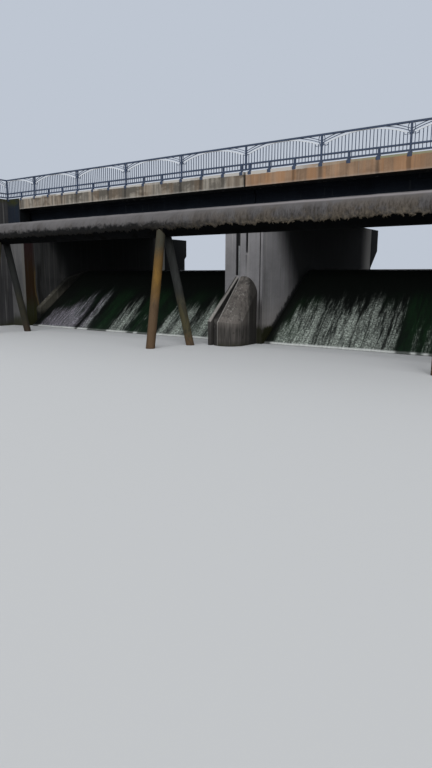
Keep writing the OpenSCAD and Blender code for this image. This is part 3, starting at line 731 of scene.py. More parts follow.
def weir_face():
    """Black-green wet concrete with bundles of pale streaks from below the crest to the toe.

    The streaks follow the surface: U runs across the weir and V up its face, in metres.
    """
    coat = Coat("weir_face")
    tints = coat.concrete
    uv = coat.put("UV", "ShaderNodeUVMap", uv_map="face")
    across, up, _ = coat.split(uv)
    lean = coat.join(across + up * 0.07, up, 0.0)
    cover, algae = (coat.put("Fac", "ShaderNodeAttribute", attribute_name=name)
                    for name in ("cover", "algae"))
    x = abs(coat.split()[0])
    near, far = (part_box("right_weir")[0][0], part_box("right_weir")[1][0])
    sides = x.fade(near + 0.12, near + 0.55) * x.fall(far - 0.35, far - 0.05)
    thin = coat.noise((7.5, 0.6, 1), 5.0, 0.68, 0.5, on=lean)
    hair = coat.noise((24.0, 2.2, 1), 4.0, 0.7, 0.3, on=lean)
    froth = coat.noise((15.0, 9.0, 1), 6.0, 0.8, on=lean)
    drawn = thin * 0.62 + hair * 0.38
    above = up.fade(0.0, 3.9)
    level = above * 0.14 + 0.29
    torn = (coat.noise((2.6, 0.5, 1), 4.0, on=lean) - 0.5) * 0.9
    level = level + (1.0 - (cover + torn)) * 0.26
    streaks = drawn.fade(level, level + 0.3)
    speckle = froth.fade(0.36, 0.64)
    grains = coat.noise((9.0, 16.0, 1), 3.0, 0.7, on=lean).fade(0.38, 0.62)
    speckle = (0.22 + speckle * 0.78) * (0.35 + grains * 0.65)
    white = streaks * speckle * sides
    white = white * up.fall(1.6, 4.2)
    foam = up.fall(0.05, 0.15) * froth.fade(0.2, 0.5, 0.3, 0.8)
    foam = foam * (0.18 + cover.fade(0.1, 0.5) * 0.82)
    green = coat.noise((0.45, 0.25, 1), 3.0, on=lean).fade(0.48, 0.68)
    tufts = (thin * 0.7 + froth * 0.3).fade(0.38, 0.62, 0.15, 0.85)
    green = (green * 0.5).at_least(algae * tufts)
    green = green * sides * up.fall(2.2, 3.6)
    base = coat.mix(green, tints.weir, tints.weir_green)
    scale = coat.mix(coat.split()[0].fade(-9.8, -8.4), paint(206, 202, 216), tints.weir_scale)
    coat.body = coat.mix(white * 0.94, base, scale)
    coat.stain(foam * 0.94, paint(218, 222, 220))
    rough = 0.42 + white * 0.4
    height = thin * 0.5 + froth * 0.5
    return coat.finish(rough, height, depth=0.02, strength=0.5, gloss=0.2)


def girder_face():
    """Nearly black concrete, partly real stain and partly painted shade, with a painted lighter foot
    below the fascia's shadow.
    """
    coat = Coat("girder_face")
    tints = coat.concrete
    grain = coat.group("concrete_grain", Patch=0.8, Board=0.4)
    shade = tints.girder
    coat.ground(grain["Tone"], shade, 0.5, 1.6)
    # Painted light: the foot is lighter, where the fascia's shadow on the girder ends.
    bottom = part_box("left_girders")[0][2]
    height_here = coat.split()[2]
    lower = height_here.fall(bottom + 0.12, bottom + 0.3)
    coat.stain(lower * 0.4, darker(shade, 1.8))
    runs = coat.group("vertical_streaks", Width=0.1, Length=1.4, Cover=0.25, Seed=5.5)["Mask"]
    coat.stain(runs * 0.1, tints.footway)
    return coat.finish(0.9, grain["Height"], depth=0.01, strength=0.5,
                    gloss=0.1)


def road_surface():
    """Asphalt: dark binder, pale stones, patches and two worn wheel tracks a lane."""
    coat = Coat("road_surface")
    tints = coat.concrete
    stones = coat.cells(55.0)
    grit = coat.noise(34.0, 6.0, 0.7)
    patch = coat.noise(0.7, 5.0, 0.6, 0.6)
    cross = coat.split()[1]
    track = abs(coat.math("PINGPONG", abs(cross), 1.6) - 0.85)
    worn = (track + patch * 0.2).fall(0.12, 0.55)
    shade = tints.asphalt
    coat.ground(patch, shade, 0.6, 1.3)
    coat.stain(worn * 0.35, darker(shade, 1.7))
    coat.stain(stones.fall(0.15, 0.4) * 0.4, tints.lime)
    slabs = coat.stretch(coat.place, (0.5, 0.9, 1))
    cracks = coat.cells(1.0, on=slabs, feature="DISTANCE_TO_EDGE")
    wander = coat.noise(6.0, 5.0) * 0.05
    crack = (cracks + wander).fall(0.024, 0.034)
    coat.stain(crack * 0.8, darker(shade, 0.2))
    height = grit * 0.6 + stones * 0.5 - crack * 0.6
    return coat.finish(0.78 + grit * 0.2, height, depth=0.006, strength=0.6)


# Steel, wrap and rubber

def railing_paint():
    """Navy paint with chips and rust at the feet, a painted reflection along the top, and pale paint
    on each panel's arch.
    """
    coat = Coat("railing_paint")
    tints = coat.steel
    navy = tints.railing
    z = coat.split()[2]
    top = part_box("downstream_left_railing")[1][2]
    tone = coat.noise(1.7, 5.0, 0.6)
    coat.ground(tone, navy, 0.7, 1.35)
    chips = coat.noise(22.0, 5.0, 0.7).fade(0.66, 0.7)
    low = z.fall(top - 0.95, top - 0.8)
    chips = chips * (0.25 + low * 0.75)
    coat.stain(chips, paint(104, 62, 36))
    # Painted reflection: the top of the top rail is lightened by the pale sky it faces.
    coat.stain(z.fade(top - 0.02, top, 0.0, 0.25), paint(150, 160, 172))
    coat.stain(arch_mask(coat), tints.arch)
    rough = 0.38 + tone * 0.25
    height = coat.noise(40.0, 3.0) - chips * 0.8
    return coat.finish(rough, height, depth=0.002, strength=0.5)


def arch_mask(coat, panel=3.0, rise=0.31, band=0.012, lyre=0.125):
    """One on the arch of each railing panel, clear of the lyres.

    The arch is a circle through the ends of each panel's rise, so its height at a
    distance u from the panel's middle is top - radius + sqrt(radius squared - u squared).
    """
    x, y, z = coat.split()
    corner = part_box("left_return_railing")
    run = abs(x)
    far_out = run.fade(corner[0][0] * -1 - 0.2, corner[0][0] * -1 - 0.1)
    back = corner[1][1] - y
    run = run * (1.0 - far_out) + back * far_out
    cell = coat.math("FRACT", run / panel) * panel
    u = cell - panel / 2
    radius = (panel * panel / 4 + rise * rise) / (2 * rise)
    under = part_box("left_return_railing")[1][2] - 0.06
    drop = coat.math("SQRT", radius * radius - u * u)
    arch = drop + (under - radius) + -band * 2
    above = z.fade(arch, arch + 0.004) * z.fall(arch + 0.06, arch + 0.064)
    below_rail = z.fall(under - 0.002, under + 0.001)
    from_post = panel / 2 - abs(u)
    clear = from_post.fade(lyre - 0.005, lyre + 0.005)
    return above * below_rail * clear


def pipe_wrap():
    """Weathered mortar wrap: mottled grey, darker low on the left, beige low on the right, and a
    painted highlight along the crown.
    """
    coat = Coat("pipe_wrap")
    tints = coat.steel
    uv = coat.put("UV", "ShaderNodeUVMap", uv_map="wrap")
    along, down, _ = coat.split(uv)
    rim = coat.put("Fac", "ShaderNodeAttribute", attribute_name="rim")
    shade = tints.wrap
    patch = coat.noise(1.5, 6.0, 0.62, 0.5)
    cloud = coat.noise(5.5, 5.0, 0.65, 0.3)
    coat.ground(patch * 0.6 + cloud * 0.4, shade, 0.55, 1.35)
    low = abs(down).fade(0.14, 0.72)
    rightwards = along.fade(-3.0, 3.5)
    tan_share = coat.noise(2.1, 4.0, 0.6).fade(0.44, 0.6) * rightwards
    coat.stain(tan_share * low * 0.7, paint(96, 87, 76))
    runs = coat.noise((5.0, 1.1, 1), 5.0, 0.7, 0.5, on=uv)
    runs = runs.fade(0.46, 0.64)
    coat.stain(runs * (0.04 + low * 0.5), tints.wrap_dirt)
    washed = (1.0 - rightwards) * patch.fade(0.3, 0.6, 0.0, 0.13)
    coat.stain(washed, paint(140, 139, 141))
    # Painted highlight along the crown, stronger to the right.
    crown = abs(down + 0.24).fall(0.02, 0.09)
    coat.stain(crown * along.fade(-2.0, 4.0, 0.1, 0.46), paint(156, 150, 152))
    reach = abs(down) + along.fade(-14.0, -10.5, 0.17, 0.0)
    reach = reach + (cloud - 0.5) * 0.45
    reach = (reach - rightwards * 0.08).fade(0.57, 0.73)
    low_darkening = reach * (1.0 - rightwards * 0.66)
    low_darkening = low_darkening * cloud.fade(0.25, 0.55, 1.0, 0.97)
    coat.stain(low_darkening, tints.bitumen)
    specks = coat.noise((16.0, 5.0, 1), 5.0, 0.75, on=uv)
    specks = specks.fade(0.44, 0.6) * abs(down).fade(0.3, 0.62)
    specks = specks * rightwards
    coat.stain(specks * 0.55, darker(tints.wrap_dirt, 0.26))
    crumbs = coat.noise(9.0, 5.0, 0.75).fade(0.4, 0.62)
    edge = rim * (0.1 + crumbs * 0.75)
    coat.stain(edge * (0.05 + rightwards * 0.85), tints.wrap_rim)
    sand = coat.noise(30.0, 6.0, 0.7)
    height = sand * 0.5 + patch * 0.5
    return coat.finish(0.8 + sand * 0.15, height, depth=0.012, strength=0.6,
                    gloss=0.2)


def pipe_bitumen():
    """Black bitumen with dull brown dust."""
    coat = Coat("pipe_bitumen")
    tints = coat.steel
    dust = coat.noise(3.2, 6.0, 0.7).fade(0.45, 0.7)
    coat.body = coat.mix(dust * 0.06, tints.bitumen, tints.wrap_dirt)
    height = coat.noise((3, 9, 9), 6.0, 0.7)
    return coat.finish(0.65 + dust * 0.3, height, depth=0.02, strength=0.6,
                    gloss=0.03)


def tatter_finish():
    """Strips of wrap: dark on the left, beige on the right."""
    coat = Coat("tatter_finish")
    tints = coat.steel
    grit = coat.noise(12.0, 5.0, 0.7)
    rightwards = coat.split()[0].fade(-3.0, 4.0)
    pale = coat.mix(grit, tints.wrap_dirt, tints.wrap_rim)
    coat.body = coat.mix(rightwards * 0.8, darker(tints.wrap_dirt, 0.12), pale)
    return coat.finish(0.9, grit, depth=0.004, strength=0.5, gloss=0.1)


def leg_rust():
    """Downstream legs: pale head, ochre and orange rust, and brown scale near the foot."""
    coat = Coat("leg_rust")
    tints = coat.steel
    z = coat.split()[2]
    bloom = coat.group("rust_bloom", Vector=coat.stretch(coat.place, (1, 1, 0.45)), Scale=3.4,
                       Cover=0.5)
    wander = (bloom["Tone"] - 0.5) * 0.9
    level = z + wander
    coat.body = coat.mix(level.fade(1.4, 2.3), tints.leg_brown, tints.leg_orange)
    coat.stain(level.fade(2.9, 3.6), tints.leg_pale)
    coat.stain(bloom["Mask"] * 0.38, darker(tints.leg_brown, 0.55))
    flakes = coat.noise(7.0, 5.0, 0.7, on=coat.stretch(coat.place, (1, 1, 0.3))).fade(0.6, 0.66)
    coat.stain(flakes * 0.6, tints.leg_pale)
    coat.stain(bloom["Tone"].fade(0.35, 0.7) * 0.2, darker(tints.leg_orange, 0.4))
    height = bloom["Height"] + flakes * 0.5
    return coat.finish(0.86, height, depth=0.008, strength=0.8, gloss=0.25)


def leg_paint():
    """Upstream legs: dull grey paint, olive growth below, brown scale at the foot, and painted shade
    on the legs to the left.
    """
    coat = Coat("leg_paint")
    tints = coat.steel
    x, _, z = coat.split()
    bloom = coat.group("rust_bloom", Vector=coat.stretch(coat.place, (1, 1, 0.4)), Scale=4.0,
                       Cover=0.42)
    level = z + (bloom["Tone"] - 0.5) * 1.2
    coat.body = coat.mix(level.fade(1.2, 2.2), tints.leg_olive, tints.leg_grey)
    coat.stain(level.fall(0.1, 0.6), tints.leg_brown)
    coat.stain(bloom["Mask"] * 0.5, darker(tints.leg_grey, 0.5))
    coat.stain(bloom["Tone"].fade(0.5, 0.75) * 0.3, tints.leg_pale)
    # Painted shade: the legs to the left are darkened.
    coat.stain(x.fade(-8.0, -5.0, 0.68, 0.0), darker(tints.leg_grey, 0.3))
    return coat.finish(0.84, bloom["Height"], depth=0.008, strength=0.8,
                    gloss=0.25)


def plain_grit(name, shade, rough):
    """A single-coloured piece with dust in its hollows."""
    coat = Coat(name)
    dust = coat.noise(12.0, 5.0, 0.7)
    coat.ground(dust.fade(0.35, 0.75), shade, 0.7, 1.5)
    return coat.finish(rough - 0.1 + dust * 0.2, dust, depth=0.004,
                    strength=0.5)


def duct_finish():
    """Pale duct with painted shade along its edges, where it meets the groove's sides."""
    coat = Coat("duct_concrete")
    tints = coat.steel
    low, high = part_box("pier_duct")
    grit = coat.noise(12.0, 5.0, 0.7)
    coat.body = coat.mix(grit.fade(0.35, 0.75), darker(tints.duct, 0.7), tints.duct)
    off = abs(coat.split()[0] - (low[0] + high[0]) / 2)
    half = (high[0] - low[0]) / 2
    # Painted shade: the duct's edges, next to the groove's sides, are darkened.
    coat.stain(off.fade(half * 0.6, half * 0.9) * 0.9, tints.rubber)
    return coat.finish(0.7, grit, depth=0.004, strength=0.5)


# Mesh building

def value_noise(u, v, seed, cells=256):
    """Smooth noise of two parameters, from 0 to 1.

    Random values stand on a square lattice. Between four of them the value is their mean,
    weighted by 3t squared minus 2t cubed along both parameters.
    """
    table = np.random.default_rng(seed).random((cells, cells))
    iu = np.floor(u).astype(int)
    iv = np.floor(v).astype(int)
    fu = u - iu
    fv = v - iv
    su = fu * fu * (3 - 2 * fu)
    sv = fv * fv * (3 - 2 * fv)
    a = table[iu % cells, iv % cells]
    b = table[(iu + 1) % cells, iv % cells]
    c = table[iu % cells, (iv + 1) % cells]
    d = table[(iu + 1) % cells, (iv + 1) % cells]
    return (a * (1 - su) + b * su) * (1 - sv) + (c * (1 - su) + d * su) * sv


def layered_noise(u, v, seed, layers=4, falloff=0.55):
    """Sum of value noises, each at twice the frequency and a share of the height."""
    total = np.zeros(np.broadcast(u, v).shape)
    weight = 1.0
    whole = 0.0
    for layer in range(layers):
        total = total + weight * value_noise(u * 2 ** layer, v * 2 ** layer, seed + layer)
        whole += weight
        weight *= falloff
    return total / whole


def grid_quads(rows, columns, wrap_columns=False):
    """Four corners of every cell of a grid, with the last column joined to the first."""
    i = np.arange(rows - 1)[:, None]
    j = np.arange(columns if wrap_columns else columns - 1)[None, :]
    nxt = (j + 1) % columns
    a = i * columns + j
    b = i * columns + nxt
    c = (i + 1) * columns + nxt
    d = (i + 1) * columns + j
    return np.stack([a, b, c, d], axis=-1).reshape(-1, 4)


def add_piece(name, points, faces, material, smooth=True):
    """Puts points and faces into a mesh, and the mesh on the object's body."""
    mesh = bpy.data.meshes.new(name)
    mesh.from_pydata(np.asarray(points).reshape(-1, 3).tolist(), [], faces)
    mesh.update()
    if smooth:
        mesh.polygons.foreach_set("use_smooth", np.ones(len(mesh.polygons), bool))
    piece = bpy.data.objects.new(name, mesh)
    bpy.context.scene.collection.objects.link(piece)
    mesh.materials.append(material)
    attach(piece, "root")
    return piece


def add_corner_uv(piece, name, values):
    """A UV map whose value at each face corner is that of its point."""
    layer = piece.data.uv_layers.new(name=name)
    corners = np.empty(len(piece.data.loops), np.int32)
    piece.data.loops.foreach_get("vertex_index", corners)
    layer.data.foreach_set("uv", values[corners].astype(np.float32).ravel())


def add_point_value(piece, name, values):
    """An attribute that holds one value for each point."""
    attribute = piece.data.attributes.new(name, "FLOAT", "POINT")
    attribute.data.foreach_set("value", values.astype(np.float32).ravel())


# Weir faces

def soft_window(value, middle, half, soft):
    """One within half of the middle, and 3t squared minus 2t cubed down to none at its sides."""
    t = np.clip((half + soft - np.abs(value - middle)) / (2 * soft), 0, 1)
    return t * t * (3 - 2 * t)


def streak_cover(across, up):
    """How strongly a point of the face is streaked: the highest value of all bundles.

    A bundle leans sideways by 0.07 of its rise. It keeps its strength up to 0.7 of its
    reach, and from there falls evenly to none at 1.4 of it.
    """
    lean = across + 0.07 * up
    cover = np.zeros(lean.shape)
    for middle, half, reach, strength in STREAK_BUNDLES:
        rise = np.clip((1.4 - up / reach) / 0.7, 0, 1)
        cover = np.maximum(cover, strength * rise * soft_window(lean, middle, half, 0.20))
    return cover


def algae_cover(across, up):
    """How thickly algae grow at a point of the face: the highest value of all strips."""
    lean = across + 0.07 * up
    return np.max([soft_window(lean, middle, half, 0.25) for middle, half in ALGAE_STRIPS], axis=0)


def weir_line(toe, back, crest, sizes):
    """The weir's profile from toe to back: points in Y and Z, normals and arc lengths.

    A straight slope rises to the crest's circle, the circle is followed to its top, and
    a smaller circle leads down to the back wall.
    """
    lip = sizes.lip_radius
    radius = sizes.crest_radius
    top_y = back - lip
    start = top_y - radius * math.sin(sizes.slope)
    start_z = crest - radius * (1 - math.cos(sizes.slope))
    slope_length = math.hypot(start - toe, start_z)
    count = int(slope_length / sizes.step)
    share = np.linspace(0, 1, count, endpoint=False)
    slope = np.stack([toe + (start - toe) * share, start_z * share], axis=1)
    slope_normal = np.tile([-math.sin(sizes.slope), math.cos(sizes.slope)], (count, 1))
    turn = np.linspace(sizes.slope, 0, int(radius * sizes.slope / sizes.step), endpoint=False)
    round_normal = np.stack([-np.sin(turn), np.cos(turn)], axis=1)
    crown = np.array([top_y, crest - radius]) + radius * round_normal
    turn = np.linspace(0, math.pi / 2, int(lip * 1.6 / sizes.step))
    lip_normal = np.stack([np.sin(turn), np.cos(turn)], axis=1)
    lip_line = np.array([top_y, crest - lip]) + lip * lip_normal
    points = np.concatenate([slope, crown, lip_line])
    normals = np.concatenate([slope_normal, round_normal, lip_normal])
    steps = np.hypot(*np.diff(points, axis=0).T)
    return points, normals, np.concatenate([[0], np.cumsum(steps)])


def weir_relief(across, up, sizes, seed):
    """Height of the worn ribs: drawn-out noise that grows from the crest to the toe."""
    wander = 0.25 * (layered_noise(across * 0.6, up * 0.5, seed + 50, 3) - 0.5)
    ribs = layered_noise((across + wander) / sizes.rib, up * 0.22, seed, 4, 0.6)
    grain = layered_noise(across / 0.09, up / 0.12, seed + 20, 3, 0.7)
    near_toe = np.clip(1 - up / 4.2, 0, 1) ** 0.7
    return sizes.relief * near_toe * (0.75 * ribs + 0.45 * grain * near_toe) + 0.002


def make_weir(side, material):
    """The whole weir as one closed skin: relief on its face, flat back, sides and foot."""
    sizes = bpy.context.scene.sluice_weir
    node = f"{side}_weir"
    low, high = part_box(node)
    line, normals, up = weir_line(low[1], high[1], high[2], sizes)
    columns = int((high[0] - low[0]) / sizes.step)
    across = np.linspace(low[0], high[0], columns)
    relief = weir_relief(across[None, :], up[:, None], sizes, 11 if side == "left" else 41)
    relief[-1] = 0
    relief[0] = 0
    yz = line[:, None, :] + relief[:, :, None] * normals[:, None, :]
    rows = len(line)
    face = np.concatenate([np.broadcast_to(across[None, :, None], (rows, columns, 1)), yz], axis=2)
    foot = np.zeros((2, columns, 3))
    foot[:, :, 0] = across
    foot[0, :, 1] = high[1]
    foot[1, :, 1] = low[1]
    foot[1, :, 2] = face[0, :, 2]
    points = np.concatenate([face, foot[:1]]).reshape(-1, 3)
    total = rows + 1
    ring = grid_quads(total, columns)
    last = np.arange(columns - 1)
    closing = np.stack([(total - 1) * columns + last, (total - 1) * columns + last + 1,
                        last + 1, last], axis=1)
    faces = np.concatenate([ring, closing]).tolist()
    edge = np.arange(total) * columns
    faces.append(edge.tolist())
    faces.append((edge + columns - 1)[::-1].tolist())
    piece = add_piece(f"{side}_weir_face", points, faces, material)
    uv = np.zeros((total, columns, 2))
    uv[:, :, 0] = across + (0 if side == "left" else 40)
    uv[:, :, 1] = np.concatenate([up, [up[-1] + high[2]]])[:, None]
    add_corner_uv(piece, "face", uv.reshape(-1, 2))
    for name, rule in (("cover", streak_cover), ("algae", algae_cover)):
        values = rule(across[None, :], up[:, None])
        add_point_value(piece, name, np.concatenate([values, np.zeros((1, columns))]))
    mark_flat(piece, len(ring))
    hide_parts(node)
    return piece


def mark_flat(piece, first):
    """Shades the faces from a number onwards flat."""
    smooth = np.ones(len(piece.data.polygons), bool)
    smooth[first:] = False
    piece.data.polygons.foreach_set("use_smooth", smooth)


# Pipe wrap

def ragged_reach(along, sizes, seed):
    """Angle from the top of the pipe to the wrap's edge: a mean plus layered noise."""
    wide = layered_noise(along * 0.8, np.zeros_like(along), seed, 3) - 0.5
    teeth = layered_noise(along * 6.0, np.ones_like(along), seed + 9, 4, 0.8) - 0.5
    return sizes.reach + sizes.ragged * (0.9 * wide + 1.9 * teeth)


def make_wrap(material):
    """A shell round the top of the pipe, thinning to a ragged edge on both flanks.

    A point's angle from the top is its share, from -1 to 1, of the reach at its place
    along the pipe. Its radius is the pipe's, plus thickness and lumps on the outside.
    """
    sizes = bpy.context.scene.sluice_wrap
    low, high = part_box("crossing_pipe")
    radius = (high[2] - low[2]) / 2
    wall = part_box("right_wing_wall")[0][0] - 0.004
    middle = ((low[1] + high[1]) / 2, (low[2] + high[2]) / 2)
    along = np.linspace(-wall, wall, 760)
    share = np.linspace(-1, 1, 41)
    front = ragged_reach(along, sizes, 5)
    back = ragged_reach(along, sizes, 25)
    reach = np.where(share[None, :] < 0, front[:, None], back[:, None])
    angle = share[None, :] * reach
    lumps = layered_noise(along[:, None] * 2.6, angle * 2.2 + 9, 3, 4, 0.6) - 0.5
    edge = 1 - np.abs(share[None, :]) ** 10
    outer = radius + 0.003 + (sizes.thickness + sizes.lumps * 2 * lumps) * (0.25 + 0.75 * edge)
    inner = np.full_like(outer, radius - 0.010)
    both = np.stack([outer, inner])
    y = middle[0] + both * np.sin(angle)
    z = middle[1] + both * np.cos(angle)
    x = np.broadcast_to(along[:, None], angle.shape)
    shell = np.stack([np.stack([x, y[0], z[0]], axis=-1),
                      np.stack([x, y[1], z[1]], axis=-1)[:, ::-1]], axis=1)
    rows = len(along)
    columns = 2 * len(share)
    points = shell.reshape(rows, columns, 3)
    faces = grid_quads(rows, columns, wrap_columns=True)[:, ::-1]
    caps = [np.arange(columns).tolist(),
            ((rows - 1) * columns + np.arange(columns))[::-1].tolist()]
    piece = add_piece("pipe_wrap_shell", points, faces.tolist() + caps, material)
    down = np.concatenate([angle * radius, (angle * radius)[:, ::-1]], axis=1)
    uv = np.stack([np.broadcast_to(along[:, None], down.shape), down], axis=-1)
    add_corner_uv(piece, "wrap", uv.reshape(-1, 2))
    rim = np.abs(np.concatenate([share, share[::-1]]))
    rim = np.clip((rim - 0.76) / 0.24, 0, 1)
    add_point_value(piece, "rim", np.broadcast_to(rim, (rows, columns)))
    return piece


def make_tatters(material):
    """Narrow strips that hang on under the pipe below the ragged edge.

    Each is a ribbon round the pipe whose width falls to nothing at its lower end, with a
    second layer inside it so that it is closed.
    """
    sizes = bpy.context.scene.sluice_wrap
    low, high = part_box("crossing_pipe")
    radius = (high[2] - low[2]) / 2
    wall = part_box("right_wing_wall")[0][0] - 0.2
    middle = np.array([(low[1] + high[1]) / 2, (low[2] + high[2]) / 2])
    draw = np.random.default_rng(77)
    count = sizes.tatters
    place = draw.uniform(-wall, wall, count)
    side = np.where(draw.random(count) < 0.65, -1, 1)
    reach = np.where(side < 0, ragged_reach(place, sizes, 5), ragged_reach(place, sizes, 25))
    span = draw.uniform(0.07, 0.24, count)
    width = draw.uniform(0.03, 0.10, count)
    lift = draw.uniform(0.002, 0.020, count)
    steps = 7
    t = np.linspace(0, 1, steps)
    angle = side[:, None] * (reach[:, None] - 0.06 + span[:, None] * t)
    half = 0.5 * width[:, None] * (1 - t[None, :] ** 1.5) + 0.0012
    drift = place[:, None] + 0.02 * np.sin(5 * t[None, :] + place[:, None] * 7)
    out = radius + 0.006 + lift[:, None] * t[None, :]
    corners = []
    for across, thick in ((-1, 0.004), (1, 0.004), (1, -0.002), (-1, -0.002)):
        ring = out + thick
        corners.append(np.stack([drift + across * half, middle[0] + ring * np.sin(angle),
                                 middle[1] + ring * np.cos(angle)], axis=-1))
    points = np.stack(corners, axis=2).reshape(-1, 3)
    one = grid_quads(steps, 4, wrap_columns=True)
    caps = np.array([[3, 2, 1, 0], [4 * steps - 4, 4 * steps - 3, 4 * steps - 2, 4 * steps - 1]])
    one = np.concatenate([one, caps])
    mirrored = one[:, ::-1]
    starts = np.arange(count) * 4 * steps
    faces = np.concatenate([(mirrored if side[i] < 0 else one) + starts[i] for i in range(count)])
    return add_piece("pipe_tatters", points, faces.tolist(), material)


# Deck trim

def box_faces(first):
    """The six faces of a box whose eight corners start at a number."""
    return (np.array([[0, 3, 2, 1], [4, 5, 6, 7], [0, 1, 5, 4],
                      [1, 2, 6, 5], [2, 3, 7, 6], [3, 0, 4, 7]]) + first)


def make_boxes(name, lows, highs, material, bevel):
    """Many boxes in one mesh, with bevelled edges."""
    corner = np.array([[0, 0, 0], [1, 0, 0], [1, 1, 0], [0, 1, 0],
                       [0, 0, 1], [1, 0, 1], [1, 1, 1], [0, 1, 1]])
    lows = np.asarray(lows)[:, None, :]
    highs = np.asarray(highs)[:, None, :]
    points = lows + corner[None] * (highs - lows)
    faces = np.concatenate([box_faces(8 * i) for i in range(len(points))])
    piece = add_piece(name, points, faces.tolist(), material, smooth=False)
    rounding = piece.modifiers.new("rounding", "BEVEL")
    rounding.width = bevel
    rounding.segments = 2
    return piece


def make_kerb_stones(material):
    """Stones along the inner edge of each footway, proud of its face by a few millimetres."""
    sizes = bpy.context.scene.sluice_trim
    road_low, road_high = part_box("left_road")
    edge = road_high[1]
    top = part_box("left_footways")[1][2] + 0.006
    foot = road_high[2] - 0.03
    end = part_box("right_deck_slab")[1][0]
    count = int(end // sizes.stone)
    lows = []
    highs = []
    for side in (-1, 1):
        for stream in (-1, 1):
            for i in range(count):
                x0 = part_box("right_deck_slab")[0][0] + i * sizes.stone
                x1 = x0 + sizes.stone - sizes.stone_joint
                y0 = edge - 0.008
                y1 = edge + sizes.stone_width
                lows.append((min(side * x0, side * x1), min(stream * y0, stream * y1), foot))
                highs.append((max(side * x0, side * x1), max(stream * y0, stream * y1), top))
    return make_boxes("kerb_stones", lows, highs, material, 0.012)


def foot_places():
    """Where the railing feet stand: X, Y and the direction across the railing."""
    step = 1.0
    places = []
    for stream in STREAMS:
        low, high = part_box(f"{stream}_right_railing")
        middle = (low[1] + high[1]) / 2
        sign = -1 if stream == "downstream" else 1
        end = int(high[0])
        for side in (-1, 1):
            for i in range(1, end):
                places.append((side * i * step, middle, 0, sign))
    for side in SIDES:
        low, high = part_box(f"{side}_return_railing")
        middle = (low[0] + high[0]) / 2
        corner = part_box("downstream_right_railing")[0][1] + 0.05
        for i in range(1, int(high[1] - low[1])):
            places.append((middle, corner - i * step, 1, -1 if side == "left" else 1))
    return places


def make_foot_nuts(material):
    """Two hexagonal nuts with a domed stud on the shoe of every railing foot."""
    sizes = bpy.context.scene.sluice_trim
    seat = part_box("downstream_left_edge_beam")[1][2] + 0.02
    turn = np.arange(6) * math.pi / 3
    radius = sizes.nut / math.sqrt(3)
    levels = ((radius, 0.0), (radius, 0.014), (radius * 0.86, 0.018), (radius * 0.42, 0.018),
              (radius * 0.42, 0.030), (radius * 0.20, 0.034))
    ring = np.array([[(r * math.cos(t), r * math.sin(t), h) for t in turn] for r, h in levels])
    one = ring.reshape(-1, 3)
    quads = grid_quads(len(levels), 6, wrap_columns=True)
    last = 6 * (len(levels) - 1)
    points = []
    faces = []
    for x, y, turned, sign in foot_places():
        for offset in (-0.052, 0.052):
            dx, dy = (0, offset) if turned else (offset, 0)
            start = len(points) * len(one)
            points.append(one + np.array([x + dx, y + dy, seat]))
            faces += (quads + start).tolist()
            faces.append([start + i for i in range(5, -1, -1)])
            faces.append([start + last + i for i in range(6)])
    return add_piece("railing_foot_nuts", np.concatenate(points), faces, material,
                     smooth=False)


# Operators

def pair(kind):
    """The names of the left and right piece of a kind."""
    return [f"{side}_{kind}" for side in SIDES]


def assign(names, material):
    """Gives CAD nodes a finished material."""
    for name in names:
        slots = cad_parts[name].data.materials
        slots.clear()
        slots.append(material)


class SLUICE_OT_node_groups(bpy.types.Operator):
    """Build the shader node groups that the materials share"""
    bl_idname = "sluice.node_groups"
    bl_label = "Shared effects"

    def execute(self, context):
        for build in GROUP_BUILDERS:
            build()
        return {"FINISHED"}


class SLUICE_OT_dress_walls(bpy.types.Operator):
    """Finish the pier, cutwater, abutments, wing walls and curbs"""
    bl_idname = "sluice.dress_walls"
    bl_label = "Walls"

    def execute(self, context):
        tints = context.scene.sluice_concrete
        pier = weathered("pier_concrete", tints.pier, dirt=0.27, dirt_width=0.26,
                         lime=0.32, moss_level=0.1, moss_wander=0.1, extra=pier_extra)
        assign(["center_pier"], pier)
        cutwater = weathered("cutwater_concrete", tints.cutwater, patch=0.6,
                             dirt=0.55, dirt_width=0.12, lime=0.4, moss_level=0.25,
                             moss_fade=0.3, moss_wander=0.2, extra=cutwater_extra)
        assign(["pier_cutwater", "pier_fin"], cutwater)
        abutment = weathered("abutment_concrete", tints.abutment, dirt=0.42,
                             dirt_width=0.26, lime=0.4, moss_level=0.45,
                             extra=abutment_extra)
        assign(pair("abutment"), abutment)
        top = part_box("left_wing_wall")[1][2]
        wing = weathered("wing_concrete", tints.wing, dirt=0.45, dirt_width=0.25,
                         lime=0.25, moss_level=0.5, extra=top_moss(top, 0.2))
        assign(pair("wing_wall"), wing)
        cheek = weathered("backwall_concrete", tints.cheek, dirt=0.45, lime=0.05,
                          moss_level=0.0, extra=cheek_extra(top))
        assign(pair("backwall"), cheek)
        curb = weathered("curb_concrete", tints.curb, patch=0.5, dirt=0.3, lime=0.3,
                         moss_level=0.9, moss_fade=0.9, extra=curb_extra)
        assign(pair("weir_curb"), curb)
        return {"FINISHED"}


